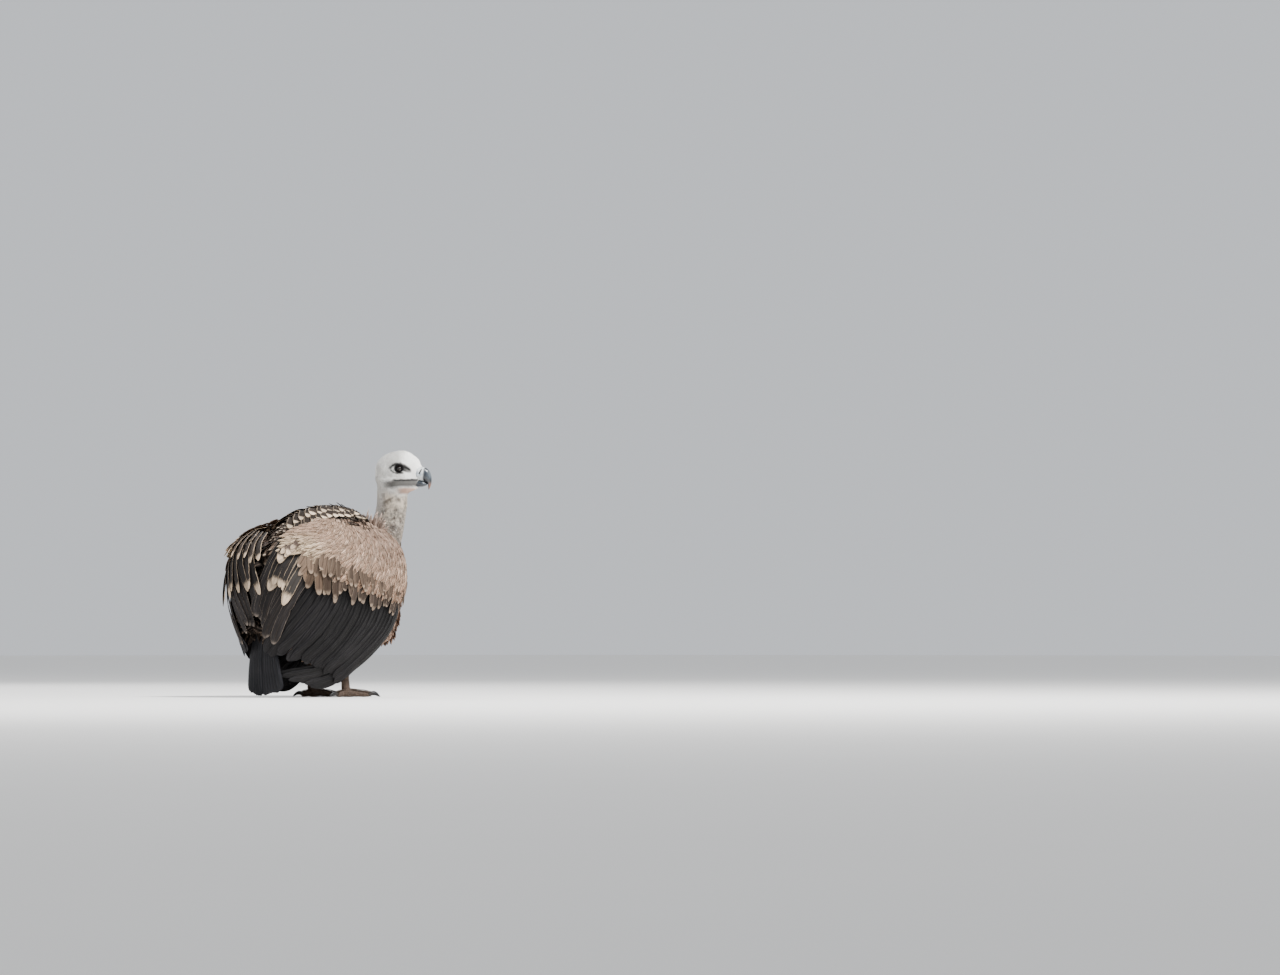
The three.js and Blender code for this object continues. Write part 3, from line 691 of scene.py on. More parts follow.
def leafShape(name, widths, curl, points=(0, 0.14, 0.34, 0.56, 0.76, 0.9), lean=0.0, arch=0.07, keel=0.07):
    spots, uv, faces = [], [], []
    for t, w in zip(points, widths):
        sway, drop = lean * t * t, -curl * t * t
        for across, lift in ((-1, -arch * w), (0, 0.0), (1, -arch * w), (0, -keel * 0.35)):
            spots.append((t, sway + across * w / 2, drop + lift))
            uv.append((0.5 + across * w * 0.5, t))
    last, tip = (len(points) - 1) * 4, len(spots)
    spots.append((1.0, lean, -curl))
    uv.append((0.5, 1.0))
    for start in range(0, last, 4):
        for k in range(4):
            a, b = start + k, start + (k + 1) % 4
            faces.append((a, a + 4, b + 4, b))
    faces.append((0, 1, 2, 3))
    faces += [(last + k, tip, last + (k + 1) % 4) for k in range(4)]
    return shapeObject(name, spots, faces, uv)


def tuftShape(name, seed, spikes=4, spread=0.55, thick=0.11):
    rng = np.random.default_rng(seed)
    spots, faces, uv = [], [], []
    for i in range(spikes):
        turn = (i + rng.uniform(-0.3, 0.3)) / spikes * 2 * math.pi
        way = np.array([1.0, spread * math.cos(turn), 0.16 + spread * 0.6 * math.sin(turn)])
        way *= rng.uniform(0.7, 1.05) / np.linalg.norm(way)
        start = np.array([0.0, 0.14 * math.cos(turn), 0.10 * math.sin(turn)])
        side = unit(np.cross(way, (0, 0, 1))) * thick
        up = unit(np.cross(side, way)) * thick
        first = len(spots)
        for a in (0, 2.1, 4.2):
            spots.append(tuple(start + side * math.cos(a) + up * math.sin(a)))
            uv.append((0.5, 0.0))
        spots.append(tuple(start + way + np.array([0, 0, -0.1])))
        uv.append((0.5, 1.0))
        faces.append((first, first + 2, first + 1))
        faces += [(first + k, first + (k + 1) % 3, first + 3) for k in range(3)]
    return shapeObject(name, spots, faces, uv)


def shapeObject(name, spots, faces, uv):
    mesh = closedMesh(name, spots, faces)
    layer = mesh.uv_layers.new(name="vane")
    for loop in mesh.loops:
        layer.data[loop.index].uv = uv[loop.vertex_index]
    return bpy.data.objects.new(name, mesh)


def shapeSet(name, shapes):
    group = bpy.data.collections.new(name)
    for shape in shapes:
        group.objects.link(shape)
    return group


def coatTree():
    tree = bpy.data.node_groups.new("coat", "GeometryNodeTree")
    wanted = dict(Roots="Geometry", Shapes="Collection", Finish="Material", Patch="Float")
    for label, kind in wanted.items():
        tree.interface.new_socket(label, in_out="INPUT", socket_type="NodeSocket" + kind)
    tree.interface.new_socket("Coat", in_out="OUTPUT", socket_type="NodeSocketGeometry")

    def node(kind, settings=None, values=None):
        made = tree.nodes.new(kind)
        for key, value in (settings or {}).items():
            setattr(made, key, value)
        for key, value in (values or {}).items():
            if isinstance(value, bpy.types.NodeSocket):
                tree.links.new(value, made.inputs[key])
            else:
                made.inputs[key].default_value = value
        return made

    def read(name, kind):
        made = node("GeometryNodeInputNamedAttribute", dict(data_type=kind), {"Name": name})
        return next(s for s in made.outputs if s.name == "Attribute" and s.enabled)

    given = node("NodeGroupInput").outputs
    shapes = node("GeometryNodeCollectionInfo", None, {
        "Collection": given["Shapes"], "Separate Children": True, "Reset Children": True})
    turn = node("FunctionNodeAxesToRotation", dict(primary_axis="Z", secondary_axis="X"),
                {"Primary Axis": read("out", "FLOAT_VECTOR"), "Secondary Axis": read("lie", "FLOAT_VECTOR")})
    spread = node("GeometryNodeInstanceOnPoints", None, {
        "Points": given["Roots"], "Instance": shapes.outputs[0], "Pick Instance": True,
        "Instance Index": read("shape", "INT"), "Rotation": turn.outputs[0],
        "Scale": read("size", "FLOAT_VECTOR")})
    real = node("GeometryNodeRealizeInstances", None, {"Geometry": spread.outputs[0]})
    # the map is a small patch at the root's place on the skin's unwrap
    centred = node("ShaderNodeVectorMath", dict(operation="SUBTRACT"),
                   {0: read("vane", "FLOAT_VECTOR"), 1: (0.5, 0.5, 0)})
    small = node("ShaderNodeVectorMath", dict(operation="SCALE"),
                 {0: centred.outputs[0], "Scale": given["Patch"]})
    where = node("ShaderNodeVectorMath", dict(operation="ADD"),
                 {0: small.outputs[0], 1: read("rootUv", "FLOAT_VECTOR")})
    store = node("GeometryNodeStoreNamedAttribute", dict(data_type="FLOAT2", domain="CORNER"),
                 {"Geometry": real.outputs[0], "Name": "OFBake"})
    tree.links.new(where.outputs[0], next(s for s in store.inputs if s.name == "Value" and s.enabled))
    finish = node("GeometryNodeSetMaterial", None,
                  {"Geometry": store.outputs[0], "Material": given["Finish"]})
    last = node("NodeGroupOutput")
    tree.links.new(finish.outputs[0], last.inputs["Coat"])
    return tree


coatNodes = coatTree()
bakePatch = 0.003


def growCoat(name, shapes, finish, roots, lie, out, size, base, tint, rootUv, rng, node=(), slot="body"):
    mesh = bpy.data.meshes.new(name)
    mesh.from_pydata(toScene(roots).tolist(), [], [])
    count, out = len(roots), unit(out)
    flatUv = np.hstack([rootUv * 0.99 + 0.005, np.zeros((count, 1))])
    rootValues = dict(lie=flatten(lie, out), out=out, size=size / 1000, rootUv=flatUv)
    for key, values in rootValues.items():
        put(mesh, key, "FLOAT_VECTOR", "POINT", values)
    put(mesh, "base", "FLOAT_COLOR", "POINT", np.clip(base, 0, 1))
    put(mesh, "tint", "FLOAT", "POINT", tint)
    put(mesh, "shape", "INT", "POINT", rng.integers(0, len(shapes.objects), count))
    made = place(name, mesh)
    grown = made.modifiers.new("coat", "NODES")
    grown.node_group = coatNodes
    names = {item.name: item.identifier for item in coatNodes.interface.items_tree if item.in_out == "INPUT"}
    grown[names["Shapes"]], grown[names["Finish"]], grown[names["Patch"]] = shapes, finish, bakePatch
    whole = bpy.data.meshes.new_from_object(made.evaluated_get(bpy.context.evaluated_depsgraph_get()))
    made.modifiers.clear()
    made.data = whole
    for key in (*rootValues, "shape"):
        if key in whole.attributes:
            whole.attributes.remove(whole.attributes[key])
    whole.materials.clear()
    whole.materials.append(finish)
    whole.polygons.foreach_set("material_index", np.zeros(len(whole.polygons), np.int32))
    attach(made, "root")
    if node:
        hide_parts(*node)
    print(name, count, "pieces,", len(whole.polygons), "faces", [u.name for u in whole.uv_layers])


def scatter(key, spacing, seed, keep, tries=2.6, closest=0.78):
    spots, quads = shells[key]
    normals = shellNormals[key]
    rng = np.random.default_rng(seed)
    tris = np.vstack([quads[:, [0, 1, 2]], quads[:, [0, 2, 3]]])
    tris = tris[keep(spots[tris].mean(1))]
    a, b, c = (spots[tris[:, k]] for k in range(3))
    area = np.linalg.norm(np.cross(b - a, c - a), axis=1) / 2
    total = int(area.sum() / spacing**2 * tries)
    pick = rng.choice(len(tris), total, p=area / area.sum())
    r1, r2 = np.sqrt(rng.random(total)), rng.random(total)
    weights = np.stack([1 - r1, r1 * (1 - r2), r1 * r2], 1)
    found = (spots[tris[pick]] * weights[:, :, None]).sum(1)
    facing = unit((normals[tris[pick]] * weights[:, :, None]).sum(1))
    # drop a root that falls too near an earlier one
    cells, chosen = {}, []
    limit = (spacing * closest) ** 2
    steps = [(i, j, k) for i in (-1, 0, 1) for j in (-1, 0, 1) for k in (-1, 0, 1)]
    for n, (p, (a, b, c)) in enumerate(zip(found.tolist(), np.floor(found / spacing).astype(int).tolist())):
        around = (q for i, j, k in steps for q in cells.get((a + i, b + j, c + k), ()))
        if all((p[0] - q[0]) ** 2 + (p[1] - q[1]) ** 2 + (p[2] - q[2]) ** 2 >= limit for q in around):
            cells.setdefault((a, b, c), []).append(p)
            chosen.append(n)
    return found[chosen], facing[chosen], rng


def turnOf(x, y):
    return np.arctan2(y, x) / (2 * math.pi) % 1.0


def growTufts(name, roots, normal, way, length, slim, sunk, base, uv, rng):
    size = np.stack([length, length * slim, length * slim], 1)
    out = np.cross(way, np.cross(normal, way))
    tint = rng.random(len(roots))
    growCoat(name, tufts, downFinish, roots - normal * sunk, way, out, size, base, tint, uv, rng, slot="down")


headTufts = dict(
    spacing=1.85, seed=3, lowest=-112, clearOfEye=11.2, long=6.2, shorterAtFace=3.6, slim=0.8, sunk=0.3,
)
neckTufts = dict(
    spacing=2.1, seed=4, top=-96, bottom=402, radius=66, long=(6.5, 10.5), longerBelow=5, slim=0.62, sunk=0.5,
)


def headDown():
    make = headTufts

    def keep(c):
        local = toHead(c)
        eyeFar = np.linalg.norm(np.abs(local) - [0, head["apart"] / 2, 0], axis=1)
        return (local[:, 2] > make["lowest"]) & (eyeFar > make["clearOfEye"])

    roots, normal, rng = scatter("head", make["spacing"], make["seed"], keep)
    x, y, z = toHead(roots).T
    back = fromHead([[-1, 0, 0]])[0] - head["at"]
    lie = np.tile(back, (len(roots), 1)) + np.outer(smooth(10, -50, z) * 1.2, [0, 0, -1.0])
    lie = flatten(lie + rng.normal(0, 0.16, lie.shape), normal)
    facial = smooth(-18, 34, x)
    way = unit(lie + normal * (0.55 - 0.32 * facial)[:, None])
    length = (make["long"] - make["shorterAtFace"] * facial) * rng.uniform(0.75, 1.2, len(roots))
    length = length * (1 - 0.5 * smooth(0.25, 0.08, faceColour(roots).mean(1)))  # shorter on the dark marks
    base = skinColour(roots, normal) * rng.uniform(0.86, 1.06, (len(roots), 1))
    uv = np.stack([turnOf(x, y), np.clip((z + 112) / 165, 0, 1)], 1)
    growTufts("head_down", roots, normal, way, length, make["slim"], make["sunk"], base, uv, rng)


def neckDown():
    make = neckTufts
    keep = lambda c: (
        (toHead(c)[:, 2] < make["top"]) & (c[:, 2] > make["bottom"]) & (fromNeck(c) < make["radius"])
    )
    roots, normal, rng = scatter("body", make["spacing"], make["seed"], keep)
    count = len(roots)
    lie = flatten(np.tile([-0.18, 0.05, -1.0], (count, 1)) + rng.normal(0, 0.2, (count, 3)), normal)
    way = unit(lie + normal * 0.5)
    length = rng.uniform(*make["long"], count) + make["longerBelow"] * (1 - smooth(425, 480, roots[:, 2]))
    base = blendTo(neckColour(roots, normal), 0.3 * (rng.random(count) < 0.4), colours["white"])
    # fewer dark specks on the side facing napeLitWay, partly as painted light
    speck = rng.random(count) < 0.12 + 0.30 * smooth(0.8, 0.1, normal @ napeLitWay)
    base[speck] *= rng.uniform(0.3, 0.7, (speck.sum(), 1))
    base *= rng.uniform(0.85, 1.08, (count, 1))
    x, y = neckAlong(roots[:, 2])
    uv = np.stack([turnOf(roots[:, 0] - x, roots[:, 1] - y), np.clip((roots[:, 2] - 410) / 130, 0, 1)], 1)
    growTufts("neck_down", roots, normal, way, length, make["slim"], make["sunk"], base, uv, rng)


scutes = dict(
    sides=8, foot=0.56, crown=0.34, rise=0.3,
    skin=dict(spacing=3.3, seed=41, low=2.2, high=112, small=(2.9, 3.8)),
    toe=dict(first=6, every=4.6, size=(6.4, 4.0)),
    shank=dict(top=112, bottom=26, every=5.2, size=(7.2, 13.5, 4.2)),
)
# the shank's middle and its half depth by height
shankAt = dict(height=[15, 22, 50, 90, 128], ahead=[43, 41, 38, 35, 31], deep=[13, 12, 10.4, 11.4, 15])


def scuteShape():
    turns = np.linspace(0, 2 * math.pi, scutes["sides"], endpoint=False)
    rings = ((scutes["foot"], 0.0), (scutes["crown"], scutes["rise"]))
    spots = [(0.5 + wide * math.cos(a), wide * math.sin(a), up) for wide, up in rings for a in turns]
    n = scutes["sides"]
    faces = [(k, (k + 1) % n, n + (k + 1) % n, n + k) for k in range(n)]
    faces += [tuple(range(n, 2 * n)), tuple(range(n - 1, -1, -1))]
    return shapeObject("scute", spots, faces, [(0.5, 0.5)] * 2 * n)


def toeWays(turn, side):
    turn = math.radians(turn) * side
    return np.array([math.cos(turn), math.sin(turn), 0]), np.array([-math.sin(turn), math.cos(turn), 0])


def scales():
    small, plate, front = scutes["skin"], scutes["toe"], scutes["shank"]
    keep = lambda c: (c[:, 2] > small["low"]) & (c[:, 2] < small["high"])
    roots, normal, rng = scatter("legs", small["spacing"], small["seed"], keep)
    lie = np.tile([0.25, 0, -1.0], (len(roots), 1))
    lie[roots[:, 2] < 26] = [1, 0, -0.2]
    size = rng.uniform(*small["small"], len(roots))
    base = np.tile(colours["leg"], (len(roots), 1)) * rng.uniform(0.75, 1.3, (len(roots), 1))
    sets = [(roots, lie, normal, np.stack([size, size, size * 0.8], 1), base)]

    def addRow(at, lie, out, long, wide, thick):
        n = len(at)
        size = np.stack([np.full(n, long), np.full(n, wide), np.full(n, thick)], 1)
        base = np.tile(colours["leg"], (n, 1)) * rng.uniform(0.9, 1.35, (n, 1))
        sets.append((at, np.tile(lie, (n, 1)), np.tile(out, (n, 1)), size, base))

    for side in (1, -1):
        foot = np.array([stance["ahead"], side * stance["half"], 0.0])
        for turn, long, thick, end in toes.values():
            way, _ = toeWays(turn, side)
            far = np.arange(plate["first"], long + 2, plate["every"])
            tall = np.interp(far, [0, long * 0.3, long * 0.62, long],
                             [2 * thick + 3, 2 * thick + 0.6, 2 * thick - 1.6, end * 1.66])
            wide = np.interp(far, [0, long * 0.7, long], [thick * 1.5, thick * 1.5, end * 1.1])
            at = foot + np.outer(far, way) + np.outer(tall - 0.6, [0, 0, 1])
            addRow(at, way + [0, 0, -0.12], [0, 0, 1.0], plate["size"][0], wide, plate["size"][1])
        high = np.arange(front["top"], front["bottom"], -front["every"])
        x = sum(np.interp(high, shankAt["height"], shankAt[key]) for key in ("ahead", "deep"))
        at = np.stack([x - 1.0, np.full(len(high), foot[1]), high], 1)
        addRow(at, [0.1, 0, -1.0], [1.0, 0, 0], *front["size"])
    at, lie, out, size, base = (np.vstack([s[k] for s in sets]) for k in range(5))
    left = at[:, 1] > 0
    beside = at[:, 1] - np.where(left, stance["half"], -stance["half"])
    uv = np.stack([np.clip((at[:, 0] + 10) / 170, 0, 1) * 0.5 + 0.5 * left,
                   np.clip(at[:, 2] / 130 + beside / 200, 0, 1)], 1)
    growCoat("leg_scales", shapeSet("scutes", [scuteShape()]), scaleFinish(), at, lie, out, size, base,
             rng.random(len(at)), uv, rng, slot="scales")


def scaleFinish():
    shader = Shader("leg_scutes", Roughness=0.55, Specular_IOR_Level=0.35)
    fine = shader.noise(500, 3)
    colour = shader.shine(fine * 0.4 + shader.read("tint") * 0.3 + 0.65, shader.read("base", "Color"))
    return shader.finish(colour, height=fine, distance=0.0004)


def downMaterial():
    shader = Shader("down", Roughness=0.9, Sheen_Weight=0.06, Sheen_Roughness=0.5, Specular_IOR_Level=0.12)
    v = shader.split(shader.read("vane", "Vector"))[1]
    colour = shader.shine(v * 0.22 + shader.read("tint") * 0.14 + 0.82, shader.read("base", "Color"))
    return shader.finish(colour)


tufts = shapeSet("tufts", [tuftShape(f"tuft_{i}", 20 + i) for i in range(4)])
downFinish = downMaterial()
headDown()
neckDown()
scales()

lances = shapeSet("lances", [
    leafShape("lance_0", (0.25, 0.8, 1.0, 0.9, 0.62, 0.34), 0.22),
    leafShape("lance_1", (0.25, 0.74, 1.0, 0.94, 0.7, 0.36), 0.34, lean=0.3),
    leafShape("lance_2", (0.25, 0.82, 0.98, 0.84, 0.66, 0.4), 0.16, lean=-0.35),
])
ovals = shapeSet("ovals", [
    leafShape("oval_0", (0.3, 0.78, 1.0, 1.0, 0.9, 0.62), 0.16),
    leafShape("oval_1", (0.3, 0.8, 0.98, 1.0, 0.88, 0.66), 0.22, lean=0.12),
    leafShape("oval_2", (0.3, 0.76, 1.0, 0.98, 0.92, 0.6), 0.1, lean=-0.12),
])


def leafSize(long, wide):
    return np.stack([long, wide, wide], 1)


def grownAt(name, shapes, finish, roots, lie, normal, rise, long, wide, base, uv, rng, tint=None, **more):
    lie = flatten(lie, normal)
    way = unit(lie + normal * np.asarray(rise)[..., None])
    out = flatten(normal, way)
    out = unit(out + np.cross(way, out) * rng.normal(0, 0.12, (len(roots), 1)))
    tint = rng.random(len(roots)) if tint is None else tint
    growCoat(name, shapes, finish, roots, way, out, leafSize(long, wide), base, tint, uv, rng, **more)


ruff = dict(
    radius=56, long=84, wide=(11, 15), centre=np.array([208.0, -24, 424]),
    lean=unit(np.array([0.46, -0.3, 0.84])),
    # each row: inward, up, share of the length, count
    rows=((-13, 2, 0.46, 84), (-11, -4, 0.6, 90), (-8, -10, 0.8, 96), (-5, -16, 1.0, 96)),
    look=dict(streak="#e6d5c5", streakWide=0.1, streakBy=0.45, fringe="#6a5145", fringeBy=0.25,
              fringeFrom=0.3, tip=0.97, barbs=60, roughness=0.9, quillBy=0.1),
)


def ruffFeathers():
    rng = np.random.default_rng(8)
    lean = ruff["lean"]
    back = flatten(np.array([-1.0, 0, 0]), lean)
    aside = np.cross(lean, back)
    rows = []
    for row, (inward, low, share, count) in enumerate(ruff["rows"]):
        turn = (np.arange(count) + 0.5 * (row % 2) + rng.uniform(-0.3, 0.3, count)) / count * 2 * math.pi
        low = low + rng.uniform(-4, 4, count)
        rows.append(np.stack([turn, np.full(count, inward), low, np.full(count, share)], 1))
    turn, inward, low, share = np.vstack(rows).T
    count = len(turn)
    outward = np.outer(np.cos(turn), back) + np.outer(np.sin(turn), aside)
    nape = (0.5 + 0.5 * np.cos(turn)) ** 2.3
    rise = unit((1.6 * nape - 0.86)[:, None] * lean + (0.42 - 0.02 * nape)[:, None] * outward)
    rise = unit(rise + rng.normal(0, 0.1, rise.shape))
    normal = unit(np.cross(rise, unit(np.cross(outward, lean))))
    normal *= np.sign((normal * (outward + 0.2 * lean)).sum(1, keepdims=True))
    roots = ruff["centre"] + outward * (ruff["radius"] + inward)[:, None] + lean * low[:, None]
    long = ruff["long"] * (0.62 + 0.3 * nape) * share * rng.uniform(0.8, 1.08, count)
    base = blendTo(np.tile(colours["breast"], (count, 1)), smooth(0.15, 0.8, nape), colours["nape"])
    base *= rng.uniform(0.8, 1.12, (count, 1))
    uv = np.stack([turn / (2 * math.pi), np.clip(share - 0.3, 0, 1)], 1)
    size = leafSize(long, rng.uniform(*ruff["wide"], count))
    finish = plumageFinish("ruff_vanes", **ruff["look"])
    growCoat("ruff_feathers", lances, finish, roots, rise, normal, size, base, rng.random(count), uv, rng,
             node=("ruff",), slot="ruff")


ruffFeathers()

# angles round the wing where the small coverts begin and end, by height, and how low they reach by angle
covertEdges = np.array([
    [268, 84, 136], [292, 66, 138], [330, 50, 139], [370, 40, 140], [410, 35, 141], [450, 35, 143],
    [478, 52, 136],
], float)
covertLow = dict(angle=[34, 46, 53, 68, 97, 132], height=[396, 392, 378, 338, 314, 288])
coverts = dict(
    top=480, bottom=280, rowEvery=8.0, every=6.4, sunk=-4.0, long=(27, 17), wide=(9.6, 4.4),
    rise=(0.03, 0.09), cream="#dcc6a6",
    look=dict(streak="#54402f", streakWide=0.17, streakBy=0.75, fringe="#e6d4bf", fringeBy=0.5,
              fringeFrom=0.26, tip=0.9, barbs=60, roughness=0.85),
)


def wingCoverts(word, side, finish):
    rng = np.random.default_rng(30 + side)
    heights = np.arange(coverts["top"], coverts["bottom"], -coverts["rowEvery"])
    found = []
    for row, z in enumerate(heights):
        angles = np.linspace(atHeight(covertEdges, z, 1) - 3, atHeight(covertEdges, z, 2) + 3, 60)
        line = onDome(side, angles, z)
        length = np.concatenate([[0], np.cumsum(np.linalg.norm(np.diff(line, axis=0), axis=1))])
        count = int(length[-1] / coverts["every"])
        want = (np.arange(count) + 0.5 * (row % 2) + rng.uniform(-0.25, 0.25, count)) / count * length[-1]
        found.append(np.stack([np.interp(want, length, angles), z + rng.uniform(-2.5, 2.5, count)], 1))
    angle, z = np.vstack(found).T
    lowest = np.interp(angle, covertLow["angle"], covertLow["height"]) + rng.uniform(-4, 4, len(angle))
    angle, z, lowest = (v[z > lowest] for v in (angle, z, lowest))
    count = len(angle)
    down = np.clip(1 - (z - lowest) / (coverts["top"] - lowest), 0, 1)
    long = (coverts["long"][0] + coverts["long"][1] * down) * rng.uniform(0.88, 1.15, count)
    long *= 1 - 0.45 * smooth(112, 130, angle) * smooth(440, 465, z)
    wide = (coverts["wide"][0] + coverts["wide"][1] * down) * rng.uniform(0.85, 1.15, count)
    roots = onDome(side, angle, z, coverts["sunk"])
    below = onDome(side, angle - 12 + 8 * smooth(50, 130, angle), z - 24, coverts["sunk"])
    ahead = below - roots + rng.normal(0, 2.2, roots.shape)
    streaky = 0.5 + 0.5 * np.sin(angle * 1.7 + 3 * np.sin(z * 0.021)) * rng.uniform(0.3, 1, count)
    buff = np.tile(colours["buff"], (count, 1))
    buff = blendTo(buff, smooth(80, 130, angle) * smooth(0.9, 0.3, down) * 0.8, colours["rose"])
    buff = blendTo(buff, 0.62 * streaky, colours["brown"])
    buff = blendTo(buff, smooth(0.8, 1.0, down + rng.uniform(-0.1, 0.1, count)) * 0.5, colours["brown"])
    buff = blendTo(buff, smooth(70, 44, angle) * smooth(0.3, 0.8, down) * 0.8, paint(coverts["cream"]))
    buff *= rng.uniform(0.8, 1.16, (count, 1))
    uv = np.stack([np.clip((angle - 25) / 125, 0, 1), np.clip((z - 260) / 225, 0, 1)], 1)
    grownAt(f"coverts_{word}", lances, finish, roots, ahead, domeOutward(side, angle, z),
            rng.uniform(*coverts["rise"], count), long, wide, buff, uv, rng,
            node=(f"wing_{word}_coverts",), slot="coverts")


covertFinish = plumageFinish("covert_vanes", **coverts["look"])
for word, side in bothSides:
    wingCoverts(word, side, covertFinish)


def bodyFlow(spots, normal):
    x, y, z = spots.T
    lie = np.tile([-0.35, 0.0, -1.0], (len(x), 1))
    lie[:, 0] -= 1.2 * (1 - smooth(-60, 120, x)) + 2.2 * smooth(420, 455, z)
    lie[:, 1] += 0.3 * np.clip(y / 60, -1, 1) * smooth(120, 200, x)
    return flatten(lie, normal)


def bodyUv(spots):
    angle = np.arctan2(spots[:, 1], -spots[:, 0] * 0.75) / (2 * math.pi) % 1
    return np.stack([angle, np.clip((spots[:, 2] - 60) / 440, 0, 1)], 1)


bodyCoat = dict(
    spacing=7.1, seed=11, long=(36, 50), wide=(15, 20), rise=(0.06, 0.13),
    look=dict(streak="#cdb7a4", streakWide=0.1, streakBy=0.5, fringe="#7a6152", fringeBy=0.15, fringeFrom=0.3,
              tip=0.97, barbs=60, roughness=0.95, quillBy=0.1),
)
rumpCoat = dict(
    spacing=10.5, seed=13, long=(44, 58), wide=(16, 21), rise=(0.05, 0.1),
    look=dict(streak="#100d0b", streakWide=0.07, streakBy=0.45, fringe="#8f7a69", fringeBy=0.25,
              fringeFrom=0.4, tip=0.92, barbs=70),
)
mantleCoat = dict(
    spacing=9.6, long=(36, 54), wide=(15, 21), rise=(0.1, 0.18), valleyFrom=58,
    look=dict(streak="#1f1713", streakWide=0.08, streakBy=0.5, fringe="#ead6bf", fringeFrom=0.38,
              fringeLeast=0.0, tip=0.8, barbs=60),
)
aboveBelly, behindBreast = 88, -40


def hiddenByWing(c):
    angle = np.degrees(np.arctan2(np.abs(c[:, 1]), -c[:, 0]))
    return (np.abs(c[:, 1]) > 62) & (angle > 38) & (angle < 132) & (c[:, 2] > 120)


def neckish(c):
    return (c[:, 2] > 430) & (fromNeck(c) < 66) & (c[:, 0] > 120)


def bodyFeathers():
    make = bodyCoat
    keep = lambda c: (
        ~hiddenByWing(c) & ~neckish(c) & ((c[:, 2] < 395) | (c[:, 0] > 168))
        & (c[:, 2] > aboveBelly) & (c[:, 0] > behindBreast)
    )
    roots, normal, rng = scatter("body", make["spacing"], make["seed"], keep)
    x, y, z = roots.T
    base = skinColour(roots, normal) * rng.uniform(0.72, 1.2, (len(x), 1))
    long = rng.uniform(*make["long"], len(x)) - 12 * (1 - smooth(90, 150, z))
    wide = rng.uniform(*make["wide"], len(x))
    lie = bodyFlow(roots, normal) + rng.normal(0, 0.1, (len(x), 3))
    crease = smooth(115, 75, fromNeck(roots)) * smooth(340, 385, z)  # shorter and raised under the ruff
    long = long * (1 - 0.3 * crease)
    grownAt("body_feathers", lances, plumageFinish("body_vanes", **make["look"]), roots, lie, normal,
            rng.uniform(*make["rise"], len(x)) + 0.3 * crease, long, wide, base, bodyUv(roots), rng,
            slot="body")


def rumpFeathers():
    make = rumpCoat
    keep = lambda c: ~hiddenByWing(c) & (c[:, 2] < 400) & (c[:, 2] > aboveBelly) & (c[:, 0] <= behindBreast)
    roots, normal, rng = scatter("body", make["spacing"], make["seed"], keep)
    count = len(roots)
    base = skinColour(roots, normal) * rng.uniform(0.7, 1.2, (count, 1))
    long, wide = rng.uniform(*make["long"], count), rng.uniform(*make["wide"], count)
    # darker towards the middle line of the back: painted shade between the wings
    base *= 0.55 + 0.45 * smooth(60, 110, np.abs(roots[:, 1]))[:, None]
    grownAt("rump_feathers", ovals, plumageFinish("rump_vanes", **make["look"]), roots,
            bodyFlow(roots, normal),
            normal, rng.uniform(*make["rise"], count), long, wide, base, bodyUv(roots), rng, slot="body")


def mantleFeathers():
    make = mantleCoat
    for name, inner, seed in (("mantle_feathers", True, 12), ("valley_feathers", False, 14)):
        keep = lambda c: (
            ~neckish(c) & (c[:, 2] >= 385) & (c[:, 0] <= 168) & (np.abs(c[:, 1]) < 118)
            & ((np.abs(c[:, 1]) < make["valleyFrom"]) == inner)
        )
        roots, normal, rng = scatter("body", make["spacing"], seed, keep)
        x, y, z = roots.T
        count = len(x)
        rim = smooth(14, 44, np.abs(y)) * inner
        base = blendTo(skinColour(roots, normal), 0.2 * rim, colours["buff"])
        base *= rng.uniform(0.6, 1.15, (count, 1))
        # valley feathers darkened almost to black, with few pale fringes: painted shade of the groove between
        # the mantle and the wing
        if not inner:
            base *= 0.12 + 0.2 * smooth(110, 160, x)[:, None]
        lie = bodyFlow(roots, normal) + np.outer(0.3 * np.sign(y) * rim, [0, 1, 0])
        front = smooth(110, 165, x)
        long = rng.uniform(*make["long"], count) * (1 - 0.45 * front)
        wide = rng.uniform(*make["wide"], count) * (1 - 0.3 * front)
        finish = plumageFinish(name[:6] + "_vanes", fringeBy=1.0 if inner else 0.08, **make["look"])
        edge = smooth(26, 44, np.abs(y)) * smooth(-60, 20, x)
        rise = rng.uniform(*make["rise"], count)
        tint = rng.random(count) * (0.45 + 0.55 * edge) + 0.3 * edge
        grownAt(name, ovals, finish, roots, lie, normal, rise, long, wide, base, bodyUv(roots), rng,
                tint=tint, slot="mantle")


bodyFeathers()
rumpFeathers()
mantleFeathers()

# ---- long feathers, each its own closed vane

columns = np.array([-1, -0.72, -0.38, -0.07, 0, 0.07, 0.38, 0.72, 1.0])  # across one vane, its shaft at 0


def tipward(rows):
    return 1 - (1 - np.linspace(0, 1, rows)) ** 1.5


def bentSpine(root, middle, tip, rows):
    t = tipward(rows)[:, None]
    return (1 - t) ** 2 * root + 2 * t * (1 - t) * middle + t**2 * tip


